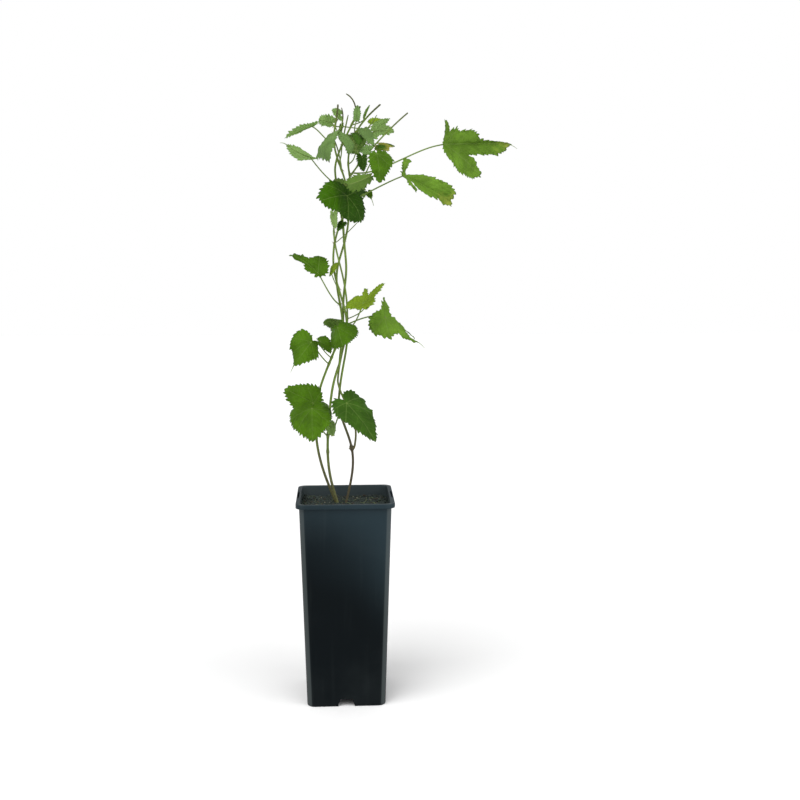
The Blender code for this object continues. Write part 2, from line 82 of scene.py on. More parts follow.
# The stems
TWINE_START = 368.0
TWINE_PITCH = 190.0
TWINE_TIGHT, TWINE_LOOSE = 3.3, 7.5
TWINE_OPENS = 430.0, 500.0
TWINE_SWELL = 0.15
STEM_RADIUS = 1.5
STEM_TAPER = 0.35
STEM_STEP = 1.6  # height between two rings of a stem
NODE_REACH = 2.3  # height over which a stem is thicker at a node
KNOT_SWELL = 3.0  # how much more it swells where a branch leaves it
STUB = 2.5  # how far a stem goes on into the soil or its parent stem
CUT_ENDS = 0.645, 0.668  # heights in metres between which a stem darkens to its cut end
DOME_STEP, DOME_TIP = 0.6, 0.3  # the rounded ends of a tube, as parts of its radius

# The leaves
LEAF_SINUS, LEAF_LOBE, LEAF_WAIST, LEAF_BASAL = 33.0, 60.0, 93.0, 126.0
STALK_RADIUS = 0.65
STALK_SECTIONS = 6
TWIG_SECTIONS = 5
SMALL_LEAF = 25.0
STRIP_BLUNTNESS = 2.5
STRIP_JOINING = 6.0
VEIN_GAP = 20.0  # degrees between a deeply cut leaf's main veins, at least
RIB_WIDTH = 0.03  # width of a main vein's groove, as a part of the length
RIB_DEPTH = 0.5  # its depth, as a part of the relief
VEIN_SLANT, VEIN_CURVE = 0.85, 0.3  # how the side veins run out towards the tip
MARGIN_STEPS = 721  # points at which a side's margin is measured
TOOTH_LEAST, TOOTH_GROWTH = 0.9, 0.085  # a small leaf's tooth, and its growth with the leaf
TOOTH_LENGTHS, TOOTH_DEPTHS = (0.65, 1.35), (0.55, 1.25)  # how uneven the teeth are
TEETH_FROM = 0.75  # share of the margin's distance at which the teeth start to grow
TOOTH_LEAN = 0.35  # lean of the teeth towards the tip
TOOTH_SUNK = 0.35  # part of a tooth's height that lies inside the smooth margin
RING_SPACING = 0.85  # under 1, the rings lie closer together near the margin
STALK_SIDES = 7
STALK_POINTS = 26
# Length of the dry thread that some leaves' tips are drawn out into
THREADS = {"leaf_right_far": 13.0, "leaf_mid_right": 11.0, "leaf_left_low": 9.0,
           "leaf_heart": 7.0, "leaf_centre_shoot": 7.0, "leaf_mid_yellow": 5.0}
# A tooth of the margin: part of its length from the tip's side, and part of its height
TOOTH = ((0.0, 0.0), (0.12, 0.45), (0.27, 0.95), (0.38, 1.0), (0.55, 0.78), (0.74, 0.46),
         (0.89, 0.16))

# The camera: its place, how far it turns to the right and down, and its lens
CAMERA_PLACE = -9.0, -1250.0, 504.0
CAMERA_YAW, CAMERA_PITCH = 3.3, 7.3
LENS, SENSOR = 50.0, 36.0


@dataclass
class Bine:
    """A stem: its foot, how far it bows out on its way to the others, and its cut tip."""

    name: str
    foot: tuple
    join: float  # height at which it has joined the twine
    bow: float
    phase: float
    tip: tuple
    leave: float  # height at which it leaves the twine for its tip
    swell: float = 0.0  # where along it the twine's radius is widest
    radius: float = STEM_RADIUS


@dataclass
class Leaf:
    """A leaf: the place of its stalk's end, the way its midrib points, and its shape."""

    name: str
    at: tuple
    length: float
    heading: float  # of the midrib, seen from above: 0 is right, 90 is back
    pitch: float  # of the midrib, above the horizontal
    roll: float  # about the midrib, the left half lifted
    stalk: float  # height at which its stalk leaves the stems
    width: float = 1.0
    left: float = 1.0
    right: float = 1.0
    lobes: float = 0.0  # 0 is heart-shaped, 1 deeply three-lobed
    spread: float = 1.0  # how wide the side lobes stand
    base: float = 1.0  # size of the two lobes beside the stalk
    tip: float = 0.0  # length of the drawn-out tip
    fold: float = 0.0  # each half turned up along the midrib
    droop: float = 30.0  # bend along the midrib
    arch: float = 20.0  # bend across it
    twist: float = 0.0
    bine: str = ""  # the stem it grows from, where it isn't the nearest
    fingers: tuple = ()  # angle, reach and half-width of each lobe of a deeply cut leaf
    flare: float = 1.0  # 1 for lobes of even width, more for lobes that widen to their ends


@dataclass
class Twig:
    """A cut stub or tendril: where it leaves its stem, the way it heads, and its end."""

    name: str
    bine: str
    leave: float  # height
    way: tuple
    end: tuple
    radius: float


BINES = [
    Bine("bine_left", (-10, 10, SOIL_TOP), 425, -27, 340, (-5, 8, 671), 590, 0.0),
    Bine("bine_front", (-8, 4, SOIL_TOP), 385, -16, 250, (19, -2, 668), 600, 0.3),
    Bine("bine_right", (1, 9, SOIL_TOP), 335, 9, 70, (41, -4, 670), 600, 0.6),
    Bine("bine_branch", (11, 7, 288), 365, 5, 160, (72, 10, 663), 570, 0.8, 1.3),
]

TWIGS = [
    Twig("twig_hook", "bine_front", 662, (14, -8, 676), (4, -6, 681), 0.8),
    Twig("twig_left", "bine_left", 636, (4, 6, 652), (-1, 2, 667), 0.9),
    Twig("twig_middle", "bine_front", 628, (2, -12, 641), (6, -9, 658), 0.8),
    Twig("twig_right", "bine_right", 640, (27, 16, 641), (38, 14, 661), 0.8),
    Twig("twig_tendril", "bine_right", 520, (2, -19, 528), (16, -17, 543), 0.5),
]

LEAVES = [
    # low down, a pair of large hearts with their companions
    Leaf("leaf_low_left", (-36, -30, 339), 50, -90, -28, 5, 303, 1.1, 0.95, 1.2,
         tip=0.2, fold=-15, droop=30, arch=25, twist=15, bine="bine_front"),
    Leaf("leaf_low_left_back", (-35, -3, 341), 40, 165, 27, -60, 330, 1.3, 0.8, 0.8, base=0.4,
         fold=10, droop=15, arch=15, bine="bine_left"),
    Leaf("leaf_low_right", (2, -25, 344), 58, -40, -35, 20, 303, 1.0, 1.1, 0.75,
         base=0.6, fold=10, droop=25, arch=50, twist=-20, bine="bine_front"),
    Leaf("leaf_low_young", (-17, -13, 317), 14, -60, -50, 20, 284, fold=15, bine="bine_front"),
    Leaf("leaf_low_behind", (-38, 36, 333), 38, 100, -30, 0, 316, 1.05, bine="bine_left"),
    # half way up
    Leaf("leaf_heart", (-36, -28, 412), 41, -115, -25, -40, 385, 1.1, 0.85, 1.3,
         base=0.8, tip=0.3, fold=-20, droop=45, arch=25, twist=55),
    Leaf("leaf_heart_side", (-27, -6, 411), 21, -40, -15, 25, 392, 1.0, 1.15, 0.75,
         fold=10, droop=75, arch=15, twist=-10),
    Leaf("leaf_mid_centre", (-7, -28, 428), 33, -85, -25, 30, 402, 1.3, 1.15, 1.2,
         fold=-30, droop=25, arch=20),
    Leaf("leaf_mid_centre_left", (-9, -8, 435), 16, -165, -5, 25, 415, 1.15, 0.95, 1.3,
         fold=-5, droop=15, arch=25, twist=45),
    Leaf("leaf_mid_behind", (0, 34, 424), 32, 85, -30, 0, 405),
    Leaf("leaf_mid_yellow", (21, -23, 454), 42, 20, 40, 25, 425,
         fold=5, droop=-5, arch=25, twist=15,
         fingers=((0, 0.8, 0.1), (40, 0.55, 0.07), (-30, 0.35, 0.26), (110, 0.65, 0.27))),
    Leaf("leaf_mid_yellow_small", (24, 6, 450), 13, 60, 50, 0, 436, fold=20),
    Leaf("leaf_mid_right", (46, -2, 438), 53, 5, -45, 70, 430,
         fold=-10, droop=-40, arch=60, twist=-45,
         fingers=((0, 0.95, 0.09), (25, 0.75, 0.12), (-35, 0.45, 0.22), (-85, 0.45, 0.26),
                  (120, 0.45, 0.13))),
    Leaf("leaf_mid_left", (-28, -14, 487), 48, 150, 35, -35, 452,
         fold=35, droop=30, arch=60, twist=20,
         fingers=((-5, 1.05, 0.13), (25, 0.35, 0.19), (-50, 0.6, 0.25), (110, 0.15, 0.15))),
    Leaf("leaf_mid_left_bud", (-14, -7, 489), 13, 15, 65, 5, 470, 1.15, droop=30, twist=35),
    # the big leaf that hangs in front, and what stands round it
    Leaf("leaf_centre_big", (4, -34, 570), 53, -85, -50, -30, 548,
         fold=20, droop=40, arch=40, twist=-5,
         fingers=((5, 0.55, 0.32), (40, 0.6, 0.32), (-60, 0.75, 0.36), (-95, 0.5, 0.29),
                  (130, 0.6, 0.11))),
    Leaf("leaf_centre_folded", (28, -48, 590), 45, 210, -25, 110, 584, 0.4, 0.5, 0.65,
         fold=40, droop=50, arch=35, twist=-10),
    Leaf("leaf_centre_shoot", (28, 6, 576), 9, -55, -45, 30, 552, fold=10, droop=30),
    Leaf("leaf_centre_low", (-11, -16, 551), 17, -85, -75, 55, 532, 0.8, droop=25, arch=15),
    Leaf("leaf_centre_low_small", (-1, -14, 542), 12, -125, -35, -20, 522, 0.85, droop=40),
    Leaf("leaf_centre_behind", (4, 36, 584), 44, 95, -35, 0, 552, 1.05),
    # the two long-stalked leaves on the right and the two on the left
    Leaf("leaf_right_far", (114, 15, 630), 95, 45, 5, 95, 598,
         fold=30, droop=-30, arch=35, twist=10,
         fingers=((0, 1.0, 0.06), (-5, 0.93, 0.1), (12, 0.52, 0.1), (24, 0.42, 0.06),
                  (50, 0.25, 0.1), (108, 0.31, 0.06), (-34, 0.66, 0.1), (-44, 0.58, 0.1),
                  (-57, 0.4, 0.12))),
    Leaf("leaf_right_low", (66, -12, 593), 60, -25, -20, 30, 566,
         fold=30, droop=20, arch=25, twist=30,
         fingers=((-1, 0.82, 0.36), (8, 0.97, 0.16), (-3, 1.05, 0.12), (110, 0.45, 0.09),
                  (-40, 0.6, 0.05)),
         flare=4.0),
    Leaf("leaf_left_narrow", (-34, 2, 647), 36, 200, -20, 15, 628, 0.7, 0.75, 0.7,
         tip=0.2, fold=15, droop=10, arch=5, twist=25),
    Leaf("leaf_left_low", (-36, -10, 613), 32, 200, 15, 0, 585, 1.0, 0.75, 1.2,
         base=0.8, tip=0.3, fold=5, droop=-20, arch=25, twist=40),
    # the crowded top
    Leaf("leaf_left_pale", (-12, 30, 654), 26, 225, 10, 50, 630, 0.55,
         fold=25, droop=25, arch=15, twist=30),
    Leaf("leaf_left_small", (-3, 15, 662), 14, 130, 25, 70, 654, droop=15),
    Leaf("leaf_left_hanging", (-2, 20, 650), 9, 105, -65, -40, 640),
    Leaf("leaf_left_droop", (-14, -32, 634), 43, -110, -30, 30, 600, 1.1, 0.55, 1.4,
         base=0.7, tip=0.3, fold=-5, droop=50, arch=20, twist=15),
    Leaf("leaf_centre_droop", (3, -28, 634), 24, -55, -45, -15, 608, 1.1, 1.0, 0.9,
         lobes=0.2, base=0.6, droop=45, arch=25, twist=10),
    Leaf("leaf_top_back", (17, -11, 638), 22, -85, -20, -15, 607, 0.9, 0.55, 0.9,
         fold=-10, droop=45, bine="bine_right"),
    Leaf("leaf_top_dark", (24, -16, 642), 23, -55, -40, 25, 624, 0.7, 0.85, 0.95,
         fold=-10, droop=45, arch=25, twist=-10, bine="bine_branch"),
    Leaf("leaf_top_pale", (35, 20, 644), 28, 45, 15, -55, 618, 1.05, 0.55, 1.3,
         lobes=0.5, base=0.6, droop=45, arch=15, twist=15),
    Leaf("leaf_top_yellow", (37, 44, 656), 16, 50, 30, 15, 648, fold=35, droop=25, arch=15,
         bine="bine_left"),
    Leaf("leaf_top_brown", (43, 16, 630), 17, 10, 0, 30, 606, 1.05, 0.7, 1.3,
         lobes=0.3, fold=-5, droop=15),
    Leaf("leaf_right_dark", (36, -34, 615), 41, -80, -40, -10, 572, 1.0, 1.0, 0.3,
         base=0.7, fold=-5, droop=35, arch=5),
    Leaf("leaf_top_low", (21, -5, 614), 19, -80, -65, 0, 596, 0.65, fold=-15, droop=5),
    Leaf("leaf_top_small", (27, -25, 619), 12, 160, 5, -65, 621, lobes=0.2, fold=20, droop=25),
    Leaf("leaf_top_behind", (12, 44, 640), 32, 80, -20, 0, 612),
    Leaf("leaf_tip_young", (15, -12, 653), 18, 70, 75, 20, 640, 0.4, fold=25, droop=10),
    Leaf("leaf_tip_side", (24, -10, 656), 15, 20, 70, -30, 650, 0.5, fold=25, droop=15,
         bine="bine_front"),
]


# ---------------------------------------------------------------- rules shared by the pieces
def smooth(t):
    t = np.clip(t, 0.0, 1.0)
    return t * t * (3.0 - 2.0 * t)


def twine_axis(z):
    """The slender line that the stems wind about, which sways a little as it climbs."""
    sway = 2 * math.pi * (z - 390.0) / 150.0
    return np.stack([-2.0 + 3.0 * np.sin(sway), 6.0 + 1.5 * np.cos(sway), z], -1)


def bine_point(bine, z):
    """Centre of a stem at height z: foot and bow below, twine in the middle, tip above."""
    z = np.asarray(z, float)
    turn = math.radians(bine.phase) - 2 * math.pi * (z - TWINE_START) / TWINE_PITCH
    swell = 1.0 + TWINE_SWELL * np.sin(2 * math.pi * (z / 120.0 + bine.swell))
    opened = smooth((z - TWINE_OPENS[0]) / (TWINE_OPENS[1] - TWINE_OPENS[0]))
    radius = swell * (TWINE_TIGHT + (TWINE_LOOSE - TWINE_TIGHT) * opened)
    wind = np.stack([np.cos(turn), np.sin(turn), 0 * turn], -1)
    twined = twine_axis(z) + wind * radius[..., None]
    rise = (z - bine.foot[2]) / (bine.join - bine.foot[2])
    share = smooth(rise)[..., None]
    foot = np.array([bine.foot[0], bine.foot[1], 0.0]) * [1, 1, 0] + z[..., None] * [0, 0, 1]
    path = foot * (1 - share) + twined * share
    bow = bine.bow * np.sin(math.pi * np.clip(rise, 0, 1))
    path = path + bow[..., None] * [1, 0, 0]
    away = np.clip((z - bine.leave) / (bine.tip[2] - bine.leave), 0, 1) ** 1.6
    tip = np.array([bine.tip[0], bine.tip[1], 0.0]) + z[..., None] * [0, 0, 1]
    return path * (1 - away)[..., None] + tip * away[..., None]


def bine_radius(bine, z):
    share = (z - SOIL_TOP) / (bine.tip[2] - SOIL_TOP)
    return bine.radius * (1 - STEM_TAPER * share)


def hill(angle, centre, width, power=2.0):
    """1 at the centre and falling away on both sides of it; all three are angles in degrees."""
    return np.exp(-np.abs((np.degrees(angle) - centre) / width) ** power)


def fingered_outline(leaf, angle):
    """The margin of a deeply cut leaf: blunt strips softly joined.

    A strip's margin lies at its half-width over the sine of the angle from its middle, and no
    further than its reach; behind the stalk's end it draws in. A flare narrows its foot.
    """
    blunt = STRIP_BLUNTNESS * math.sqrt(leaf.flare)
    total = 0.05 ** STRIP_JOINING + 0 * angle
    for heading, reach, half in leaf.fingers:
        off = angle - math.radians(heading)
        aside = np.where(np.cos(off) > 0, np.abs(np.sin(off)), 1 - 1.5 * np.cos(off))
        ratio = reach * aside / half
        strip = reach * (1 + ratio ** blunt) ** (-leaf.flare / blunt)
        total = total + strip ** STRIP_JOINING
    return total ** (1 / STRIP_JOINING)


def leaf_outline(leaf, angle):
    """Distance of the margin from the stalk's end, as a part of the length.

    The angle is 0 at the tip and positive to the left. A blunt heart has a pointed tip added,
    then hollows beside the middle lobe and swellings for the side lobes, and a notch behind.
    """
    if leaf.fingers:
        return fingered_outline(leaf, angle)
    off = np.abs(angle)
    share = 0.5 + 0.5 * np.sin(angle)
    half = 0.47 * leaf.width * (leaf.right + (leaf.left - leaf.right) * share)
    margin = half + (1 - half) * hill(off, 0, 29, 1.15)
    sinus, lobe, waist = (leaf.spread * a for a in (LEAF_SINUS, LEAF_LOBE, LEAF_WAIST))
    hollow = 0.42 * hill(off, sinus, 11.5) + 0.22 * hill(off, waist, 14)
    margin = margin * (1 - leaf.lobes * hollow)
    margin = margin + 0.72 * leaf.lobes * half * hill(off, lobe, 12, 1.3)
    margin = margin + (0.13 + 0.3 * leaf.lobes) * half * hill(off, LEAF_BASAL * leaf.spread, 24)
    behind = np.clip((off - math.radians(75)) / math.radians(60), 0, 1)
    margin = margin * (1 - (1 - leaf.base) * behind)
    point = 0.25 * leaf.tip
    margin = margin * (1 - point) + point * hill(off, 0, 4, 1.0)
    return margin * (1 - 0.8 * np.exp(-(((math.pi - off) / 0.34) ** 2)))


def leaf_bend(leaf, along, across):
    """Bend a flat blade: folded and arched across, twisted and drooping along."""
    fold, droop, arch, twist = (math.radians(a) + 1e-6 for a in
                                (leaf.fold, leaf.droop, leaf.arch, leaf.twist))
    turned = fold - 2 * arch * np.abs(across)
    side = np.sign(across) * (math.sin(fold) - np.sin(turned)) / (2 * arch)
    lift = (np.cos(turned) - math.cos(fold)) / (2 * arch)
    spin = twist * along
    side, lift = (side * np.cos(spin) - lift * np.sin(spin),
                  side * np.sin(spin) + lift * np.cos(spin))
    bend = droop * along
    return np.stack([np.sin(bend) * (1 / droop + lift), side,
                     np.cos(bend) * (1 / droop + lift) - 1 / droop], -1) * leaf.length


def leaf_axes(leaf):
    """Unit vectors along the midrib, to the left of it, and out of the upper face."""
    heading, pitch, roll = (math.radians(a) for a in (leaf.heading, leaf.pitch, leaf.roll))
    along = np.array([math.cos(pitch) * math.cos(heading), math.cos(pitch) * math.sin(heading),
                      math.sin(pitch)])
    level = np.array([-math.sin(heading), math.cos(heading), 0.0])
    upper = np.cross(along, level)
    return np.array([along, level * math.cos(roll) + upper * math.sin(roll),
                     upper * math.cos(roll) - level * math.sin(roll)])


def stalk_bine(leaf):
    """The stem that a stalk grows from: the named one, or the one nearest to the leaf."""
    if leaf.bine:
        return next(b for b in BINES if b.name == leaf.bine)
    place = np.array(leaf.at[:2])
    reach = [b for b in BINES if leaf.stalk > b.foot[2] + 5 and leaf.stalk < b.tip[2]]
    return min(reach, key=lambda b: np.linalg.norm(bine_point(b, leaf.stalk)[:2] - place))


def way_out(bine, z, place):
    """Unit vector from a stem at height z towards a place, square to the stem."""
    root = bine_point(bine, z)
    along = bine_point(bine, z + 1.0) - bine_point(bine, z - 1.0)
    along = along / np.linalg.norm(along)
    out = place - root
    out = out - along * (out @ along)
    return out / np.linalg.norm(out)


def stalk_path(leaf):
    """A stalk leaves its stem sideways, arcs up and comes into the blade from behind."""
    bine = stalk_bine(leaf)
    axes = leaf_axes(leaf)
    root = bine_point(bine, leaf.stalk)
    end = np.array(leaf.at, float)
    out = way_out(bine, leaf.stalk, end)
    start = root + out * (bine_radius(bine, leaf.stalk) + CLEAR + 0.35 * STALK_RADIUS)
    reach = np.linalg.norm(end - start)
    first = start + out * 0.3 * reach + np.array([0, 0, 0.12 * reach])
    last = end - (0.7 * axes[0] + 0.5 * axes[2]) * 0.3 * reach
    t = np.linspace(0, 1, STALK_SECTIONS + 1)[:, None]
    arc = ((1 - t) ** 3 * start + 3 * t * (1 - t) ** 2 * first
           + 3 * t * t * (1 - t) * last + t ** 3 * end)
    inside = end + axes[0] * 0.05 * leaf.length
    return np.vstack([arc, inside])


def twig_path(twig):
    """A twig starts just clear of its stem, heads the way given and bends to its end."""
    bine = next(b for b in BINES if b.name == twig.bine)
    root = bine_point(bine, twig.leave)
    way, end = np.array(twig.way, float), np.array(twig.end, float)
    out = way_out(bine, twig.leave, way)
    start = root + out * (bine_radius(bine, twig.leave) + CLEAR + 0.5 * twig.radius)
    t = np.linspace(0, 1, TWIG_SECTIONS + 1)[:, None]
    return (1 - t) ** 2 * start + 2 * t * (1 - t) * way + t ** 2 * end


# ---------------------------------------------------------------- meshes from arrays
def unit(vectors):
    return vectors / np.maximum(np.linalg.norm(vectors, axis=-1, keepdims=True), 1e-12)


def quads(rows, columns, start=0):
    """Faces of a grid whose points are numbered row by row, each row closed on itself."""
    row, column = np.meshgrid(np.arange(rows - 1), np.arange(columns), indexing="ij")
    after = (column + 1) % columns
    corners = (row * columns + column, row * columns + after,
               (row + 1) * columns + after, (row + 1) * columns + column)
    return np.stack(corners, -1).reshape(-1, 4) + start


def fan(centre, first, count):
    """Triangles from a centre point to a closed row of points."""
    step = np.arange(count)
    return np.stack([np.full(count, centre), first + step, first + (step + 1) % count], -1)


class Form:
    """Points, faces, paint numbers and two pattern coordinates that add up to one mesh."""

    def __init__(self):
        self.points, self.faces, self.paints, self.patterns = [], [], [], []
        self.count = 0

    def add(self, points, faces, pattern=None, paint=0):
        self.skin(faces, paint, self.count)
        self.points.append(points)
        self.count += len(points)
        self.patterns.append(np.zeros((len(points), 2)) if pattern is None else pattern)

    def skin(self, faces, paint, start=0):
        for part in faces:
            self.faces += (part + start).tolist()
            self.paints += [paint] * len(part)

    def piece(self, name, materials, slot, nodes=(), smooth=True):
        """The finished object, which rides on the body and stands for the nodes."""
        mesh = bpy.data.meshes.new(name)
        mesh.from_pydata((np.concatenate(self.points) * MM).tolist(), [], self.faces)
        mesh.polygons.foreach_set("material_index", self.paints)
        mesh.polygons.foreach_set("use_smooth", [smooth] * len(self.faces))
        corner = np.empty(len(mesh.loops), int)
        mesh.loops.foreach_get("vertex_index", corner)
        layer = mesh.uv_layers.new(name="pattern")
        layer.data.foreach_set("uv", np.concatenate(self.patterns)[corner].ravel())
        mesh.update()
        for material in materials:
            mesh.materials.append(material)
        ob = bpy.data.objects.new(name, mesh)
        bpy.context.scene.collection.objects.link(ob)
        return settle(ob, nodes)


def settle(ob, nodes=()):
    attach(ob, BODY)
    if nodes:
        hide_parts(*nodes)
    return ob


def tube(path, radii, sides=8, ridge=0.0, paint=0):
    """A closed tube: rings of points about a path, square to it, with a domed end at each side.

    A ring's point is the path's point plus the radius times the cosine and sine of its angle
    along two directions square to the path, the first of them as square as can be to the
    whole of it. Six ridges add a small cosine of six times that angle to the radius.
    """
    path, radii = np.asarray(path, float), np.asarray(radii, float)
    along = unit(np.gradient(path, axis=0))
    ends = np.array([-DOME_STEP, DOME_STEP])[:, None] * radii[[0, -1], None] * along[[0, -1]]
    path = np.vstack([path[:1] + ends[0], path, path[-1:] + ends[1]])
    radii = np.concatenate([radii[:1] * DOME_STEP, radii, radii[-1:] * DOME_STEP])
    along = np.vstack([along[:1], along, along[-1:]])
    lean = np.linalg.svd(along, full_matrices=False)[2][-1]
    side = unit(lean - along * (along @ lean)[:, None])
    other = np.cross(along, side)
    angle = np.linspace(0, 2 * math.pi, sides, endpoint=False)
    swell = radii[:, None] * (1 + ridge * np.cos(6 * angle))
    turned = (np.cos(angle)[None, :, None] * side[:, None]
              + np.sin(angle)[None, :, None] * other[:, None])
    rings = path[:, None] + swell[..., None] * turned
    rows = len(path)
    points = np.vstack([rings.reshape(-1, 3), path[:1] - DOME_TIP * radii[0] * along[:1],
                        path[-1:] + DOME_TIP * radii[-1] * along[-1:]])
    faces = [quads(rows, sides), fan(rows * sides, 0, sides)[:, [0, 2, 1]],
             fan(rows * sides + 1, (rows - 1) * sides, sides)]
    length = np.concatenate([[0], np.cumsum(np.linalg.norm(np.diff(path, axis=0), axis=1))])
    pattern = np.stack([np.repeat(length, sides), np.tile(angle, rows)], -1)
    return points, faces, np.vstack([pattern, pattern[:1], pattern[-1:]]), paint


# ---------------------------------------------------------------- the shapes
def rounded_square(width, radius, each=10):
    """Points of a square with round corners: four quarter circles joined by straight sides."""
    quarter = np.arange(4)[:, None] * math.pi / 2
    angle = quarter + np.linspace(0, math.pi / 2, each)
    middle = quarter + math.pi / 4
    reach = (width / 2 - radius) * math.sqrt(2)
    corners = np.stack([reach * np.cos(middle) + radius * np.cos(angle),
                        reach * np.sin(middle) + radius * np.sin(angle)], -1)
    part = np.linspace(0, 1, each)[1:-1, None]
    start, end = corners[:, -1:], np.roll(corners[:, :1], -1, axis=0)
    return np.concatenate([corners, start + (end - start) * part], axis=1).reshape(-1, 2)


def lofted(form, profile, each=10, lift=None):
    """A closed body: rounded squares of each width, corner radius and height, and two ends.

    lift gives a height to add at every ring's points, from their places.
    """
    rings = np.stack([np.pad(rounded_square(w, r, each), ((0, 0), (0, 1)), constant_values=z)
                      for w, r, z in profile])
    if lift is not None:
        rings[..., 2] += lift(rings)
    rows, columns = rings.shape[:2]
    middle = rings[[0, -1]].mean(axis=1)
    points = np.vstack([rings.reshape(-1, 3), middle])
    faces = [quads(rows, columns), fan(rows * columns, 0, columns)[:, [0, 2, 1]],
             fan(rows * columns + 1, (rows - 1) * columns, columns)]
    form.add(points, faces)


def wall_width(z, pot):
    """Outer width of the pot's body at height z."""
    base = pot.base_width / MM
    return base + (POT_TOP_WIDTH - base) * z / (pot.height / MM - RIM_HEIGHT)


def pot_form(pot):
    """The shell: up the outside, out and over the rim, down the inside and across the floor."""
    top, rim = pot.height / MM, pot.rim_width / MM
    wall, corner, under = pot.wall / MM, CORNER_RADIUS, top - RIM_HEIGHT
    heights = np.linspace(1.2, under - 0.6, WALL_RINGS)
    outside = [(wall_width(z, pot), corner, z) for z in heights]
    inside = [(wall_width(z, pot) - 2 * wall, corner - wall, z)
              for z in np.linspace(top - 1.0, POT_FLOOR + 1.5, WALL_RINGS)]
    turn = np.linspace(0, math.pi / 2, LIP_RINGS)
    soft = LIP_RADIUS
    lip = [(rim - 2 * soft * (1 - math.cos(a)), corner, top - soft * (1 - math.sin(a)))
           for a in turn]
    mouth = wall_width(top, pot) - 2 * wall
    inner_lip = [(mouth + 2 * soft * (1 - math.sin(a)), corner - wall,
                  top - soft * (1 - math.cos(a))) for a in turn]
    floor = wall_width(POT_FLOOR, pot) - 2 * wall
    profile = [(wall_width(0, pot) - 1.6, corner - 0.8, 0.0),
               (wall_width(0, pot) - 0.5, corner - 0.3, 0.3), *outside,
               (wall_width(under, pot) + 0.2, corner, under - 0.15),
               (wall_width(under, pot) + 0.8, corner, under),
               (rim - 1.2, corner, under), (rim - 0.3, corner, under + 0.25),
               (rim, corner, under + 0.9), *lip, *inner_lip, *inside,
               (floor - 0.8, corner - wall, POT_FLOOR + 0.4),
               (floor - 2.4, corner - wall - 0.8, POT_FLOOR)]
    form = Form()
    lofted(form, profile)
    return form


def block(points):
    """A six-sided body from its eight corners, low ones first and left ones before right."""
    form = Form()
    form.add(points, [np.array([[0, 1, 5, 4], [2, 6, 7, 3], [0, 4, 6, 2], [1, 3, 7, 5],
                                [0, 2, 3, 1], [4, 5, 7, 6]])])
    return form


def drain_block(turn, pot, grow=0.0, inside=False):
    """A wedge along one drain recess, grown by so much, or kept inside the pot's own skin."""
    base = pot.base_width / MM / 2
    outer = base - SKIN_MARGIN if inside else base + BLOCK_MARGIN
    inner = base - DRAIN_LENGTH - grow
    levels = (0.5 if inside else -DRAIN_HEIGHT, DRAIN_HEIGHT + grow)
    slant = (DRAIN_BOTTOM - DRAIN_TOP) / DRAIN_HEIGHT
    reach = [(DRAIN_BOTTOM - slant * level) / 2 + grow for level in levels]
    points = np.array([[side * reach[k], -away, levels[k]]
                       for k in (0, 1) for away in (outer, inner) for side in (-1, 1)])
    cosine, sine = math.cos(turn), math.sin(turn)
    points[:, :2] = points[:, :2] @ np.array([[cosine, sine], [-sine, cosine]])
    return block(points)


def slot_block(side, pot):
    """A thin upright block that cuts the blind slot in one side of the rim."""
    middle = side * (pot.rim_width / MM / 2 - SLOT_INSET)
    return block(np.array([[middle + x * SLOT_WIDTH / 2, y * SLOT_LENGTH / 2,
                            pot.height / MM + z * SLOT_DEPTH]
                           for z in (-1, 1) for y in (-1, 1) for x in (-1, 1)]))


def loose(form, name):
    """A helper object for cutting, made from a form."""
    mesh = bpy.data.meshes.new(name)
    mesh.from_pydata((np.concatenate(form.points) * MM).tolist(), [], form.faces)
    ob = bpy.data.objects.new(name, mesh)
    bpy.context.scene.collection.objects.link(ob)
    return ob


def cut(ob, others, operation="DIFFERENCE"):
    """Boolean of ob with each of the others, applied, for a body that has one material after.

    The others are removed. It raises an error if nothing is left.
    """
    for other in others:
        change = ob.modifiers.new("cut", "BOOLEAN")
        change.operation = operation
        change.solver = "EXACT"
        change.object = other
    graph = bpy.context.evaluated_depsgraph_get()
    mesh = bpy.data.meshes.new_from_object(ob.evaluated_get(graph))
    ob.modifiers.clear()
    ob.data = mesh
    for other in others:
        bpy.data.objects.remove(other, do_unlink=True)
    if not len(mesh.polygons):
        raise RuntimeError("a cut left nothing of " + ob.name)
    mesh.materials.clear()
    return ob


def waves(points, scale, seed, count=9):
    """Smooth noise between about -1 and 1: a sum of sine waves in seeded directions."""
    rng = np.random.default_rng(seed)
    direction = rng.normal(size=(count, points.shape[-1]))
    phase = rng.uniform(0, 2 * math.pi, count)
    return np.sin(points @ direction.T * (2 * math.pi / scale) + phase).sum(-1) / math.sqrt(count)


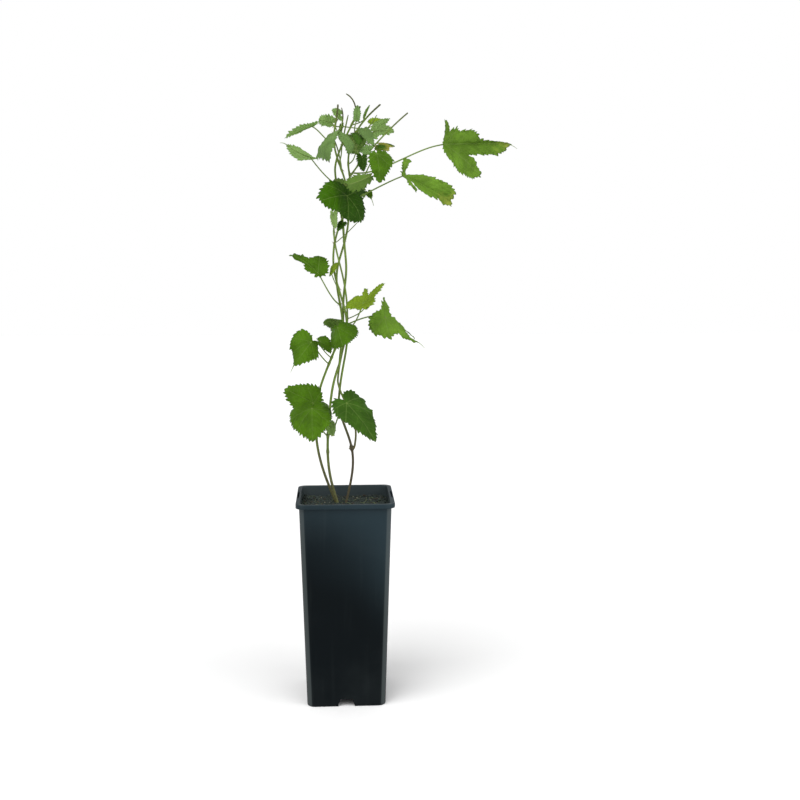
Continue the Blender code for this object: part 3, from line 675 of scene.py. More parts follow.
def leaf_margin(leaf, look, seed):
    """Angles of the spokes down both sides of a leaf, and the height of the teeth at each.

    The margin of a side is shared out among teeth of uneven length and depth. Each has the
    same few points: it rises steeply from the side of the tip and falls slowly behind.
    The teeth die out at the tip and in the notch behind.
    """
    fine = np.linspace(0, math.pi, MARGIN_STEPS)
    pitch = min(look.tooth / MM, TOOTH_LEAST + TOOTH_GROWTH * leaf.length)
    rng = np.random.default_rng(seed)
    place, height = np.array(TOOTH).T
    angles, heights = [], []
    for side in (-1, 1):
        reach = leaf_outline(leaf, side * fine) * leaf.length
        edge = np.stack([reach * np.cos(fine), reach * np.sin(fine)], -1)
        along = np.concatenate([[0], np.cumsum(np.linalg.norm(np.diff(edge, axis=0), axis=1))])
        teeth = max(4, round(along[-1] / pitch))
        share = rng.uniform(*TOOTH_LENGTHS, teeth)
        share *= along[-1] / share.sum()
        depth = rng.uniform(*TOOTH_DEPTHS, teeth) * look.tooth_depth
        start = np.cumsum(share) - share
        angle = np.interp(start[:, None] + share[:, None] * place, along, fine).ravel()
        tooth = (height * (depth * share)[:, None]).ravel()
        tooth *= smooth(angle / 0.12) * smooth((math.radians(174) - angle) / 0.25)
        angles.append(side * angle)
        heights.append(tooth)
    return (np.concatenate([angles[0][:0:-1], angles[1]]),
            np.concatenate([heights[0][:0:-1], heights[1]]))


def leaf_veins(leaf):
    """Angles of the main veins: the midrib, and one for each side lobe and each lobe behind.

    On a deeply cut leaf, each lobe with no longer one close beside it has a vein.
    """
    if leaf.fingers:
        return np.radians([a for a, reach, _ in leaf.fingers
                           if not any(abs(a - b) < VEIN_GAP and reach < other
                                      for b, other, _ in leaf.fingers)])
    lobe = leaf.spread * (42 + 15 * min(leaf.lobes, 1.0))
    base = leaf.spread * (92 + 18 * min(leaf.lobes, 1.0))
    return np.radians([0.0, lobe, -lobe, base, -base])


def blade_place(leaf, x, y):
    """Where the flat blade's points come to lie when it is bent and placed by the rule."""
    length = leaf.length
    return np.array([leaf.at]) + leaf_bend(leaf, x / length, y / length) @ leaf_axes(leaf)


def blade_normals(leaf, angle, share):
    """Unit normals of the untoothed blade: square to its spokes and to its rings."""
    margin = leaf_outline(leaf, angle) * leaf.length
    surface = blade_place(leaf, margin * share * np.cos(angle), margin * share * np.sin(angle))
    across = np.roll(surface, -1, axis=1) - np.roll(surface, 1, axis=1)
    middle = np.broadcast_to(np.array([leaf.at]), surface[:1].shape)
    outward = np.gradient(np.concatenate([middle, surface]), axis=0)[1:]
    return unit(np.cross(outward, across))


def toothed_plane(leaf, angle, tooth, share, growth):
    """The flat blade: a ring's point lies at the ring's share of the margin's distance.

    The teeth grow out of the last rings, square to the margin and leaning to the tip.
    """
    margin = leaf_outline(leaf, angle) * leaf.length
    edge = np.stack([margin * np.cos(angle), margin * np.sin(angle)], -1)
    run = unit(np.roll(edge, -1, axis=0) - np.roll(edge, 1, axis=0))
    push = np.stack([run[:, 1], -run[:, 0]], -1) - TOOTH_LEAN * np.sign(angle)[:, None] * run
    push = push * (tooth - TOOTH_SUNK * tooth.max())[:, None]
    return np.moveaxis(edge * share[..., None] + push * growth[..., None], -1, 0)


def vein_place(leaf, x, y):
    """A point's place among the side veins, and how far from the nearest main vein it is."""
    turn, reach = np.arctan2(y, x), np.hypot(x, y)
    off = np.abs((turn[..., None] - leaf_veins(leaf) + math.pi) % (2 * math.pi) - math.pi)
    near = off.min(-1)
    aside = reach * np.sin(near) / leaf.length
    along = reach * np.cos(near) / leaf.length
    return along - VEIN_SLANT * aside + VEIN_CURVE * aside * aside, aside


def blade_relief(leaf, look, seed, plane, share, side, aside):
    """How far the blade is raised: sunk at the veins, swollen between the side veins, puckered.

    Wide waves grow towards the margin, and all of it fades out at the stalk.
    """
    length = leaf.length
    ribs = np.exp(-(aside / RIB_WIDTH) ** 2)
    between = np.sin(math.pi * (side * look.side_veins + 0.5)) ** 2 * smooth(aside / 0.1)
    calm = smooth((1.15 - share) / 0.5)
    relief = length * look.relief * calm * (between - RIB_DEPTH * ribs)
    relief += look.puckers * length * share * waves(plane, 0.16 * length, seed + 1)
    relief += look.sway * length * share ** 2 * waves(plane, 0.5 * length, seed + 2, 5)
    return relief * smooth(share / 0.15)


def blade_faces(rows, count):
    """Faces of the upper fan of rings, and of the under one, which shares its last ring."""
    top = rows * count
    low = top + 2
    last_up, last_low = top - count, low + (rows - 2) * count
    step = np.arange(count)
    after = (step + 1) % count
    closing = np.stack([step + last_low, after + last_low, after + last_up, step + last_up], -1)
    return ([quads(rows, count)[:, ::-1], fan(top, 0, count)],
            [quads(rows - 1, count, low), closing, fan(top + 1, low, count)[:, [0, 2, 1]]])


def leaf_form(leaf, look, seed):
    """The blade, as two fans of rings that meet at a toothed margin, its rib and its stalk.

    The flat blade is bent by the source's rule and moved along the normal of its untoothed
    shape by its relief, and half the thickness further on each side.
    """
    rows = look.rings if leaf.length > SMALL_LEAF else look.rings // 2
    angle, tooth = leaf_margin(leaf, look, seed)
    share = (np.arange(1, rows + 1) / rows)[:, None] ** RING_SPACING
    growth = smooth((share - TEETH_FROM) / (1 - TEETH_FROM))
    x, y = toothed_plane(leaf, angle, tooth, share, growth)
    side, aside = vein_place(leaf, x, y)
    normal = blade_normals(leaf, angle, share)
    relief = blade_relief(leaf, look, seed, np.stack([x, y], -1), share, side, aside)
    surface = blade_place(leaf, x, y) + normal * relief[..., None]
    thick, count = look.thickness / MM / 2, len(angle)
    half = thick * (1 - growth ** 2)[..., None] * normal
    poles = np.array([leaf.at]) + normal[:1].mean(axis=1) * np.array([[1.0], [-1.0]]) * thick
    points = np.vstack([(surface + half).reshape(-1, 3), poles,
                        (surface - half)[:-1].reshape(-1, 3)])
    pattern = np.stack([side, aside], -1).reshape(-1, 2)
    upper, under = blade_faces(rows, count)
    form = Form()
    form.add(points, upper, np.vstack([pattern, np.zeros((2, 2)), pattern[:-count]]))
    form.skin(under, 1)
    spoke = int(np.argmin(np.abs(angle)))
    stalk = stalk_curve(leaf)
    rib = slice(0, int(0.9 * rows))
    thin = STALK_RADIUS * (0.75 + 0.25 * min(1.6, leaf.length / 40))
    size = thin * np.linspace(0.8, 0.15, rib.stop)
    midrib = surface[rib, spoke] - normal[rib, spoke] * size[:, None]
    radius = np.concatenate([thin * np.linspace(1.25, 1.0, len(stalk)), size])
    form.add(*tube(np.vstack([stalk, midrib]), radius, sides=STALK_SIDES, paint=2))
    if leaf.name in THREADS:
        part = np.linspace(0, 1, 9)[:, None]
        tip, way = surface[-3, spoke], unit(surface[-3, spoke] - surface[rib.stop - 4, spoke])
        thread = tip + THREADS[leaf.name] * (part * way - 0.35 * part ** 2 * [0, 0, 1])
        form.add(*tube(thread, np.linspace(0.5, 0.2, 9), sides=6, paint=2))
    return form


def stalk_curve(leaf):
    """The stalk: a smooth line through its rule's points, begun inside its stem."""
    root = bine_point(stalk_bine(leaf), leaf.stalk)
    return smooth_line(np.vstack([root, stalk_path(leaf)[:-1]]), STALK_POINTS)


def smooth_line(path, count):
    """A line of so many points through a path, its bends eased by three rounds of averaging."""
    place = np.linspace(0, len(path) - 1, count)
    line = np.stack([np.interp(place, np.arange(len(path)), axis) for axis in path.T], -1)
    for _ in range(3):
        line[1:-1] = (line[:-2] + 2 * line[1:-1] + line[2:]) / 4
    return line


def stem_nodes(bine):
    """Heights at which something grows from this stem."""
    heights = [leaf.stalk for leaf in LEAVES if stalk_bine(leaf).name == bine.name]
    heights += [twig.leave for twig in TWIGS if twig.bine == bine.name]
    heights += [other.foot[2] for other in BINES if branch_stem(other) is bine]
    return np.array(sorted(heights))


def branch_stem(bine):
    """The stem that a branch starts from: the nearest to its foot. A rooted stem has none."""
    if bine.foot[2] <= SOIL_TOP:
        return None
    rooted = [b for b in BINES if b.foot[2] <= SOIL_TOP]
    foot = np.array(bine.foot, float)
    return min(rooted, key=lambda b: np.linalg.norm(bine_point(b, foot[2]) - foot))


def stem_form(bine, look):
    """A ridged tube up the stem's centre line, thicker at its nodes, which bear dry scales."""
    low, high = bine.foot[2] - STUB, bine.tip[2]
    z = np.linspace(low, high, int((high - low) / STEM_STEP) + 1)
    joints = stem_nodes(bine)
    knot = [other.foot[2] for other in BINES if branch_stem(other) is bine]
    size = 1 + KNOT_SWELL * np.isin(joints, knot)
    swell = (size * np.exp(-((z[:, None] - joints) / NODE_REACH) ** 2)).sum(-1)
    swell = swell.clip(0, size.max())
    radius = bine_radius(bine, z) * (1 + look.node_swell * swell)
    path = bine_point(bine, z)
    parent = branch_stem(bine)
    if parent:
        path[0] = bine_point(parent, bine.foot[2] - 3.0)
        path[:8] = smooth_line(path[:8], 8)
    form = Form()
    form.add(*tube(path, radius, sides=18, ridge=look.ridge))
    rng = np.random.default_rng(int(bine.foot[0] * 7 + 300))
    for joint in joints:
        for side in range(7 if joint in knot else 2):
            turn = rng.uniform(0, 2 * math.pi)
            start = bine_point(bine, joint)
            out = np.array([math.cos(turn), math.sin(turn), 0.0])
            size = rng.uniform(1.6, 3.0) + (joint in knot)
            reach = np.linspace(0, 1, 6)[:, None]
            scale_path = start + out * (0.7 + size * reach) + np.array([0, 0, 1.0]) * size * (
                0.7 * reach * rng.uniform(-1, 1) + 0.3 * reach ** 2 * (1 if side else -1))
            form.add(*tube(scale_path, np.linspace(0.6 + 0.5 * (joint in knot), 0.08, 6),
                           sides=6, paint=1))
    return form


def twig_form(twig, look):
    """A thin ridged tube along the twig's bend, from inside its stem to a pinched end."""
    bine = next(b for b in BINES if b.name == twig.bine)
    path = smooth_line(np.vstack([bine_point(bine, twig.leave), twig_path(twig)]), 30)
    size = np.interp(np.arange(30), [0, 4, 26, 29], [1.25, 1.0, 0.85, 0.55])
    form = Form()
    form.add(*tube(path, twig.radius * size, sides=12, ridge=look.ridge))
    return form


def soil_height(x, y):
    """How far the soil stands above its mean level: lumps of three sizes from sums of waves."""
    place = np.stack([x, y], -1)
    return sum(height * waves(place, size, seed) for height, size, seed in SOIL_LUMPS)


def soil_form(pot, soil):
    """The soil: a block that fills the pot, under a lumpy surface of shrinking squares."""
    low, level = POT_FLOOR + CLEAR, soil.level / MM
    inset, corner = 2 * (pot.wall / MM + CLEAR), CORNER_RADIUS - pot.wall / MM
    width = wall_width(level, pot) - inset
    profile = [(wall_width(low, pot) - inset, corner, low)]
    profile += [(width * part, corner * part, level)
                for part in np.linspace(1, 0.01, SOIL_RINGS)]
    form = Form()
    lofted(form, profile, each=36,
           lift=lambda p: np.where(p[..., 2] > low, soil_height(p[..., 0], p[..., 1]), 0.0))
    return form


def crumbs_form(pot, soil, seed, count, low, high, flat=1.0):
    """Lumps strewn over the soil: one rough ball of twenty faces, scaled, turned and placed."""
    golden = (1 + math.sqrt(5)) / 2
    corners = np.array([[0, s, t * golden] for s in (-1, 1) for t in (-1, 1)])
    corners = unit(np.vstack([np.roll(corners, k, axis=1) for k in range(3)]))
    faces = hull_faces(corners)
    rng = np.random.default_rng(seed)
    size = low * (high / low) ** (rng.uniform(0, 1, count) ** 2)
    turned = np.linalg.qr(rng.normal(size=(count, 3, 3)))[0]
    turned *= np.sign(np.linalg.det(turned))[:, None, None]
    rough = corners * rng.uniform(0.7, 1.3, (count, len(corners), 1))
    lumps = np.einsum("nij,nkj->nki", turned, rough) * size[:, None, None]
    lumps[..., 2] *= flat
    half = (wall_width(soil.level / MM, pot) - 2 * pot.wall / MM) / 2 - 1.0 - size
    place = rng.uniform(-1, 1, (count, 2)) * half[:, None]
    height = soil.level / MM + soil_height(place[:, 0], place[:, 1]) + 0.3 * size * flat
    lumps += np.column_stack([place, height])[:, None]
    form = Form()
    every = faces[None] + np.arange(count)[:, None, None] * len(corners)
    form.add(lumps.reshape(-1, 3), [every.reshape(-1, 3)])
    return form


def hull_faces(corners):
    """The faces of an icosahedron: every three corners that lie nearest to one another."""
    step = np.linalg.norm(corners[:, None] - corners[None], axis=-1)
    near = (step > 0) & (step < 1.2)
    trio = np.array([(a, b, c) for a in range(12) for b in range(a) for c in range(b)
                     if near[a, b] and near[b, c] and near[a, c]])
    a, b, c = corners[trio].transpose(1, 0, 2)
    turned = np.einsum("ij,ij->i", np.cross(b - a, c - a), a) < 0
    trio[turned] = trio[turned][:, ::-1]
    return trio


def fibres_form(pot, soil, seed, count):
    """Short bent threads of moss and root that lie on the soil."""
    rng = np.random.default_rng(seed)
    form = Form()
    half = wall_width(soil.level / MM, pot) / 2 - 6
    for _ in range(count):
        place, turn = rng.uniform(-half, half, 2), rng.uniform(0, 2 * math.pi)
        part = np.linspace(0, 1, 7)
        length, bow = rng.uniform(3, 11), rng.uniform(-2, 2)
        x = place[0] + length * (part - 0.5) * math.cos(turn) - bow * part ** 2 * math.sin(turn)
        y = place[1] + length * (part - 0.5) * math.sin(turn) + bow * part ** 2 * math.cos(turn)
        x, y = np.clip(x, -half, half), np.clip(y, -half, half)
        rise = rng.uniform(0.2, 1.6) * np.sin(math.pi * part)
        path = np.stack([x, y, soil.level / MM + soil_height(x, y) + 0.4 + rise], -1)
        form.add(*tube(path, np.full(7, rng.uniform(0.12, 0.3)), sides=5))
    return form


# ---------------------------------------------------------------- patterns and finishes
class Signal:
    """The output of a shader node. Sums, differences and products of signals add Math nodes."""

    def __init__(self, finish, socket):
        self.finish, self.socket = finish, socket

    def __add__(self, other):
        return self.finish.math("ADD", self, other)

    def __sub__(self, other):
        return self.finish.math("SUBTRACT", self, other)

    def __rsub__(self, other):
        return self.finish.math("SUBTRACT", other, self)

    def __mul__(self, other):
        return self.finish.math("MULTIPLY", self, other)

    __radd__ = __add__
    __rmul__ = __mul__

    def size(self):
        return self.finish.math("ABSOLUTE", self)

    def wave(self):
        """A triangle wave of period 1 between 0 and 1."""
        return self.finish.math("PINGPONG", self, 0.5) * 2.0

    def step(self, low, high):
        """0 below low, 1 above high, and an eased rise between; it falls where low > high."""
        rise = (low, high, 0.0, 1.0) if low < high else (high, low, 1.0, 0.0)
        return self.finish.node("ShaderNodeMapRange", {"interpolation_type": "SMOOTHSTEP"},
                                {0: self, 1: rise[0], 2: rise[1], 3: rise[2], 4: rise[3]})


class Finish:
    """A material under construction: its Principled shader and the nodes that feed it."""

    def __init__(self, name, roughness=0.5, specular=0.5):
        self.material = bpy.data.materials.new(name)
        self.material.use_nodes = True
        self.tree = self.material.node_tree
        self.shader = self.tree.nodes["Principled BSDF"]
        self.shader.inputs["Roughness"].default_value = roughness
        self.shader.inputs["Specular IOR Level"].default_value = specular
        self.place = self.node("ShaderNodeTexCoord", output="Object")

    def node(self, kind, settings=(), sockets=(), output=0):
        made = self.tree.nodes.new(kind)
        for name, value in dict(settings).items():
            setattr(made, name, value)
        for name, value in dict(sockets).items():
            if isinstance(value, Signal):
                self.tree.links.new(value.socket, made.inputs[name])
            else:
                made.inputs[name].default_value = value
        return Signal(self, made.outputs[output])

    def mix(self, factor, first, second):
        """The first colour at factor 0 and the second at 1."""
        return self.node("ShaderNodeMix", {"data_type": "RGBA"},
                         {0: factor, 6: first, 7: second}, output=2)

    def math(self, operation, left, right=0.5):
        return self.node("ShaderNodeMath", {"operation": operation}, {0: left, 1: right})

    def noise(self, scale, detail=3.0, stretch=None, rough=0.5):
        """Cloudy noise about 0.5, with so many lumps a metre."""
        place = self.place
        if stretch:
            place = self.node("ShaderNodeMapping", (), {"Vector": place, "Scale": stretch})
        return self.node("ShaderNodeTexNoise", (), {
            "Vector": place, "Scale": scale, "Detail": detail, "Roughness": rough})

    def along(self, axis):
        """One of the place's three coordinates, in metres."""
        return self.node("ShaderNodeSeparateXYZ", (), {0: self.place}, output=axis)

    def pattern(self, axis):
        """One of the piece's own two pattern coordinates."""
        layer = self.node("ShaderNodeUVMap", {"uv_map": "pattern"})
        return self.node("ShaderNodeSeparateXYZ", (), {0: layer}, output=axis)

    def feed(self, **sockets):
        for name, value in sockets.items():
            socket = self.shader.inputs[name.replace("_", " ")]
            if isinstance(value, Signal):
                self.tree.links.new(value.socket, socket)
            else:
                socket.default_value = value

    def bump(self, height, depth):
        """Relief by the height signal, whose full range spans so many metres of depth."""
        self.feed(Normal=self.node("ShaderNodeBump", (), {
            "Height": height, "Distance": depth, "Strength": 1.0}, output="Normal"))

    def glow_through(self, colour, part):
        """Lets a constant part of the light through the blade in one colour."""
        through = self.node("ShaderNodeBsdfTranslucent", (), {"Color": colour})
        both = self.tree.nodes.new("ShaderNodeMixShader")
        both.inputs[0].default_value = part
        self.tree.links.new(self.shader.outputs[0], both.inputs[1])
        self.tree.links.new(through.socket, both.inputs[2])
        output = self.tree.nodes["Material Output"]
        self.tree.links.new(both.outputs[0], output.inputs["Surface"])


def solid(colour):
    return (*colour, 1.0)


def shade(colour, factor):
    """The same hue, brighter or darker by a factor."""
    return (*(channel * factor for channel in tuple(colour)[:3]), 1.0)


def vein_signals(finish, look):
    """1 on the main veins, and 1 on the side veins, which die away from their main vein."""
    side, aside = finish.pattern(0), finish.pattern(1)
    wave = (side * look.side_veins + 0.5).wave()
    return aside.step(0.013, 0.002), wave.step(0.1, 0.01) * aside.step(0.4, 0.05)


def upper_face(name, tint, look, age=0.0, tips=0.0, second=None):
    """A leaf's upper face: mottled green, fine paler veins, and yellow where it is old.

    Its left part may take a second, brighter green as painted sunlight, and the tips of its lobes
    may be yellow.
    """
    finish = Finish(name, look.roughness, look.gloss)
    tint = solid(tint)
    vein = tuple(max(pair) for pair in zip(solid(look.vein), shade(tint, 1.15)))
    ribs, side_ribs = vein_signals(finish, look)
    mottled = finish.mix(finish.noise(55.0, 4.0).step(0.3, 0.7), shade(tint, 0.76),
                         shade(tint, 1.2))
    # Painted sunlight: left of the pot's middle the blade takes the second, brighter green, a
    # pool of light painted on it.
    if second:
        left = (finish.along(0) + (finish.noise(60.0) - 0.5) * 0.02).step(0.0, -0.012)
        mottled = finish.mix(left, mottled, solid(second))
    fine = finish.node("ShaderNodeTexVoronoi", {"feature": "DISTANCE_TO_EDGE"},
                       {"Vector": finish.place, "Scale": 560.0}).step(0.12, 0.0)
    veined = finish.mix(fine * 0.25, mottled, shade(tint, 0.7))
    veined = finish.mix(side_ribs * 0.3, veined, vein)
    veined = finish.mix(ribs * 0.35, veined, vein)
    tipped = (finish.pattern(0) + (finish.noise(110.0, 2.0) - 0.5) * 0.7).step(0.72, 1.0)
    veined = finish.mix(tipped * tips, veined, solid(look.yellow))
    yellow = finish.noise(90.0, 3.0).step(0.66 - 0.3 * age, 0.8 - 0.2 * age) * min(1.0, age)
    aged = finish.mix(yellow, veined, solid(look.yellow))
    brown = finish.noise(170.0, 2.0).step(0.8 - 0.18 * age, 0.84 - 0.16 * age) * min(1.0, age)
    finish.feed(Base_Color=finish.mix(brown, aged, solid(look.brown)),
                Roughness=finish.noise(140.0) * 0.2 + (look.roughness - 0.1))
    finish.bump(finish.noise(1500.0, 2.0) * 0.35 - side_ribs * 0.5 - fine * 0.3 - ribs * 0.5,
                0.0003)
    finish.glow_through(shade(tint, 1.5), look.glow)
    return finish.material


def under_face(name, colour, look):
    """A leaf's underside: paler and greyer, with raised veins."""
    finish = Finish(name, 0.65, look.gloss)
    base = solid(colour)
    ribs, side_ribs = vein_signals(finish, look)
    mottled = finish.mix(finish.noise(70.0), shade(base, 0.85), shade(base, 1.15))
    finish.feed(Base_Color=finish.mix(ribs * 0.6 + side_ribs * 0.3, mottled,
                                      solid(look.vein)))
    finish.bump(ribs * 0.6 + side_ribs * 0.5 + finish.noise(900.0) * 0.2, 0.0003)
    finish.glow_through(shade(base, 1.2), look.glow)
    return finish.material


def stalk_skin(name, colour, look):
    """A leaf stalk: green, streaked along its length and paler in places."""
    finish = Finish(name, 0.5, 0.3)
    streak = finish.noise(300.0, 3.0, stretch=(1.0, 1.0, 0.15))
    finish.feed(Base_Color=finish.mix(streak, shade(colour, 0.65), shade(colour, 1.35)))
    finish.bump(streak, 0.0002)
    return finish.material


def stem_skin(name, low, high, change, look):
    """A stem: bark colour below, green above and dark at its cut end, in fine streaks."""
    finish = Finish(name, 0.6, 0.25)
    height = finish.along(2) + (finish.noise(25.0) - 0.5) * 0.09
    base = finish.mix(height.step(change - 0.06, change + 0.06), solid(low), solid(high))
    base = finish.mix(height.step(*CUT_ENDS) * 0.8, base, shade(low, 0.55))
    streak = finish.noise(420.0, 4.0, stretch=(1.0, 1.0, 0.08))
    streaked = finish.mix(streak.step(0.4, 0.75) * 0.45, base, shade(low, 0.55))
    groove = (finish.pattern(1) * (6.0 / (2 * math.pi))).wave()
    flecks = finish.noise(700.0, 2.0).step(0.62, 0.7)
    toned = finish.mix(flecks * 0.35, streaked, shade(high, 1.9))
    finish.feed(Base_Color=finish.mix(groove.step(0.3, 0.0) * 0.25, toned, shade(low, 0.6)))
    finish.bump(streak + groove * 0.4, 0.0004)
    return finish.material


def pot_plastic(name, pot):
    """Satin moulded plastic: dark, with a painted reflection that lightens it towards the rim and
    to the right, painted highlights along the corners and the rim's top edge, lighter inner
    faces, and dust.
    """
    finish = Finish(name, 0.4, pot.gloss)
    x, y, z = finish.along(0).size(), finish.along(1).size(), finish.along(2)
    half = z * ((POT_TOP_WIDTH * MM - pot.base_width) / 2 / pot.height) + pot.base_width / 2
    # Painted highlight: the rounded corners are mixed a little towards the dust colour, as the
    # sheen on them.
    corner = finish.math("MINIMUM", x - half, y - half).step(-0.0085, -0.0015)
    dust = finish.noise(9.0, 5.0, rough=0.6).step(0.42, 0.8)
    streak = finish.noise(140.0, 3.0, stretch=(1.0, 1.0, 0.05)).step(0.55, 0.85)
    # Painted reflection: the plastic turns lighter towards the rim and to the right, as the
    # bright floor mirrored in it.
    painted_reflection = (z + finish.along(0) * 0.75 + (finish.noise(7.0, 1.0) - 0.5) * 0.1).step(0.1, 0.24)
    base = finish.mix(painted_reflection, solid(pot.colour), solid(pot.top_colour))
    # The inner faces, more than 1.1 mm inside the outer skin, are mixed towards the dust colour,
    # so they are lighter.
    inside = finish.math("MAXIMUM", x - half, y - half).step(-0.0004, -0.0011)
    painted_highlights = finish.mix(corner * 0.05, base, solid(pot.dust))
    painted_highlights = finish.mix(inside * 0.3, painted_highlights, solid(pot.dust))
    # Painted highlight: a thin lighter line along the rim's top edge.
    rim = z.step(pot.height - 0.0012, pot.height - 0.0002)
    painted_highlights = finish.mix(rim * 0.05, painted_highlights, solid(pot.dust))
    dusty = finish.mix(dust * 0.05 + streak * 0.03, painted_highlights, solid(pot.dust))
    finish.feed(Base_Color=dusty, Roughness=dust * 0.14 + 0.36 + streak * 0.06)
    finish.bump(finish.noise(1800.0, 2.0) * 0.3 + finish.noise(40.0, 1.0) * 1.0, 0.0002)
    return finish.material


def grains(name, dark, light):
    """Damp soil or one kind of crumb: two tones in fine grains."""
    finish = Finish(name, 0.9, 0.2)
    grain = finish.noise(900.0, 5.0, rough=0.65)
    finish.feed(Base_Color=finish.mix(grain.step(0.35, 0.7), solid(dark), solid(light)))
    finish.bump(grain, 0.0008)
    return finish.material


def plain(name, colour, roughness=0.8):
    """One colour with a faint fine grain in its relief."""
    finish = Finish(name, roughness, 0.2)
    finish.feed(Base_Color=solid(colour))
    finish.bump(finish.noise(1200.0), 0.0003)
    return finish.material


# ---------------------------------------------------------------- sizes and colours
def tone(red, green, blue):
    """The linear values of a display colour given in parts of 255."""
    return tuple(((c / 255 + 0.055) / 1.055) ** 2.4 if c > 10 else c / 255 / 12.92
                 for c in (red, green, blue))


def length(name, description, millimetres):
    return FloatProperty(name=name, description=description, default=millimetres * MM,
                         min=0.0, subtype="DISTANCE", unit="LENGTH", precision=5)


def paint(name, description, red, green, blue):
    return FloatVectorProperty(name=name, description=description, size=3, min=0.0, max=1.0,
                               default=tone(red, green, blue), subtype="COLOR")


def part(name, description, value, top=1.0):
    return FloatProperty(name=name, description=description, default=value, min=0.0, max=top,
                         subtype="FACTOR")


def number(name, description, value, least=0.0):
    return FloatProperty(name=name, description=description, default=value, min=least)


class HopPot(bpy.types.PropertyGroup):
    height: length("Height", "From the ground to the top of the rim", 235.0)
    rim_width: length("Rim width", "Outer width of the square rim", 110.0)
    base_width: length("Base width", "Outer width at the ground", 89.0)
    wall: length("Wall", "Thickness of the plastic", 1.3)
    gloss: part("Gloss", "Strength of the shine", 0.06)
    colour: paint("Plastic", "Colour of the lower part", 5, 11, 14)
    # Painted reflection: the lighter colour that the body takes towards the rim and to the right.
    top_colour: paint("Upper plastic", "Colour near the rim, which is more faded", 34, 47, 53)
    # This colour also paints the highlights on the corners and along the rim's top edge, and
    # lightens the inner faces.
    dust: paint("Dust", "Colour of the dust and scuffs", 96, 104, 104)


class HopSoil(bpy.types.PropertyGroup):
    level: length("Level", "Mean height of the soil's surface", SOIL_TOP)
    crumbs: IntProperty(name="Crumbs", description="Number of crumbs of the main kind",
                        default=900, min=0)
    dark: paint("Dark soil", "Colour of the hollows", 36, 41, 38)
    light: paint("Light soil", "Colour of the drier grains", 68, 79, 75)
    brown: paint("Bark crumbs", "Colour of the bits of bark", 68, 63, 55)
    pale: paint("Grit", "Colour of the pale grit", 120, 118, 104)
    moss: paint("Moss", "Colour of the moss and root threads", 104, 116, 84)


class HopStems(bpy.types.PropertyGroup):
    ridge: part("Ridges", "Height of the six ridges, as a part of the radius", 0.08)
    node_swell: part("Nodes", "How much thicker a stem is where a stalk leaves it", 0.3)
    bark: paint("Old bark", "Colour of the lower stems", 100, 98, 64)
    dark_bark: paint("Dark bark", "Colour of the oldest stem", 88, 80, 62)
    green: paint("Green bark", "Colour of the upper stems", 112, 138, 56)
    scale: paint("Scales", "Colour of the dry scales at the nodes", 132, 118, 78)


class HopLeaves(bpy.types.PropertyGroup):
    rings: IntProperty(name="Rings", description="Rings of a large leaf's surface",
                       default=24, min=6)
    tooth: length("Tooth", "Length of margin that a large leaf's tooth takes", 4.8)
    tooth_depth: part("Tooth depth", "Depth of a tooth as a part of its length", 0.52)
    thickness: length("Thickness", "Thickness of a blade", 0.35)
    relief: part("Relief", "Depth of the veins as a part of the leaf's length", 0.012, 0.1)
    puckers: part("Puckers", "Height of the puckers as a part of the length", 0.006, 0.1)
    sway: part("Sway", "Height of the wide waves as a part of the length", 0.02, 0.1)
    side_veins: number("Side veins", "Side veins in a leaf's length", 7.0, 1.0)
    roughness: part("Roughness", "Roughness of the upper face", 0.45)
    gloss: part("Gloss", "Strength of the shine on the upper face", 0.07)
    glow: part("Glow", "Part of the light that passes through a blade", 0.25)
    fresh: paint("Fresh", "Leaves of the lower stems", 78, 117, 18)
    # Painted shade: a darker green for the big leaf and for the leaves behind the stems, standing
    # in for the shade they lie in.
    deep: paint("Deep", "The big shaded leaf and those behind", 46, 80, 14)
    # Painted sunlight: the brighter green painted onto the big leaf's left part.
    sunny: paint("Sunny", "The big leaf's left part", 64, 108, 6)
    cool: paint("Cool", "The leaf low on the right and some small ones", 62, 98, 26)
    misty: paint("Misty", "Bluish leaves of the top", 112, 144, 80)
    bright: paint("Bright", "Leaves that stand out to the right", 108, 146, 46)
    # Painted light: a paler green for the leaves in full light.
    pale: paint("Pale", "Leaves in full light", 156, 188, 110)
    lime: paint("Lime", "Young yellow-green leaves", 122, 148, 36)
    yellow: paint("Yellow", "Colour of old patches", 176, 170, 78)
    brown: paint("Brown", "Colour of dead spots", 104, 78, 42)
    vein: paint("Vein", "Colour of the main veins", 128, 156, 80)
    underside: paint("Underside", "Colour beneath", 100, 132, 56)
    # Also painted light: the underside of the leaves painted pale for full light, and of the lime
    # leaves.
    pale_underside: paint("Pale underside", "Colour beneath the palest leaves", 148, 182, 106)
    stalk: paint("Stalk", "Colour of the leaf stalks", 106, 130, 56)


class HopStage(bpy.types.PropertyGroup):
    floor_size: length("Floor", "Width of the floor", 12000.0)
    floor: paint("Floor", "Colour of the floor", 246, 246, 246)
    key: number("Key light", "Strength of the main light", 2.0)
    fill: number("Fill light", "Strength of the second light", 1.2)
    sky: number("Sky", "Strength of the light from all round", 0.55)


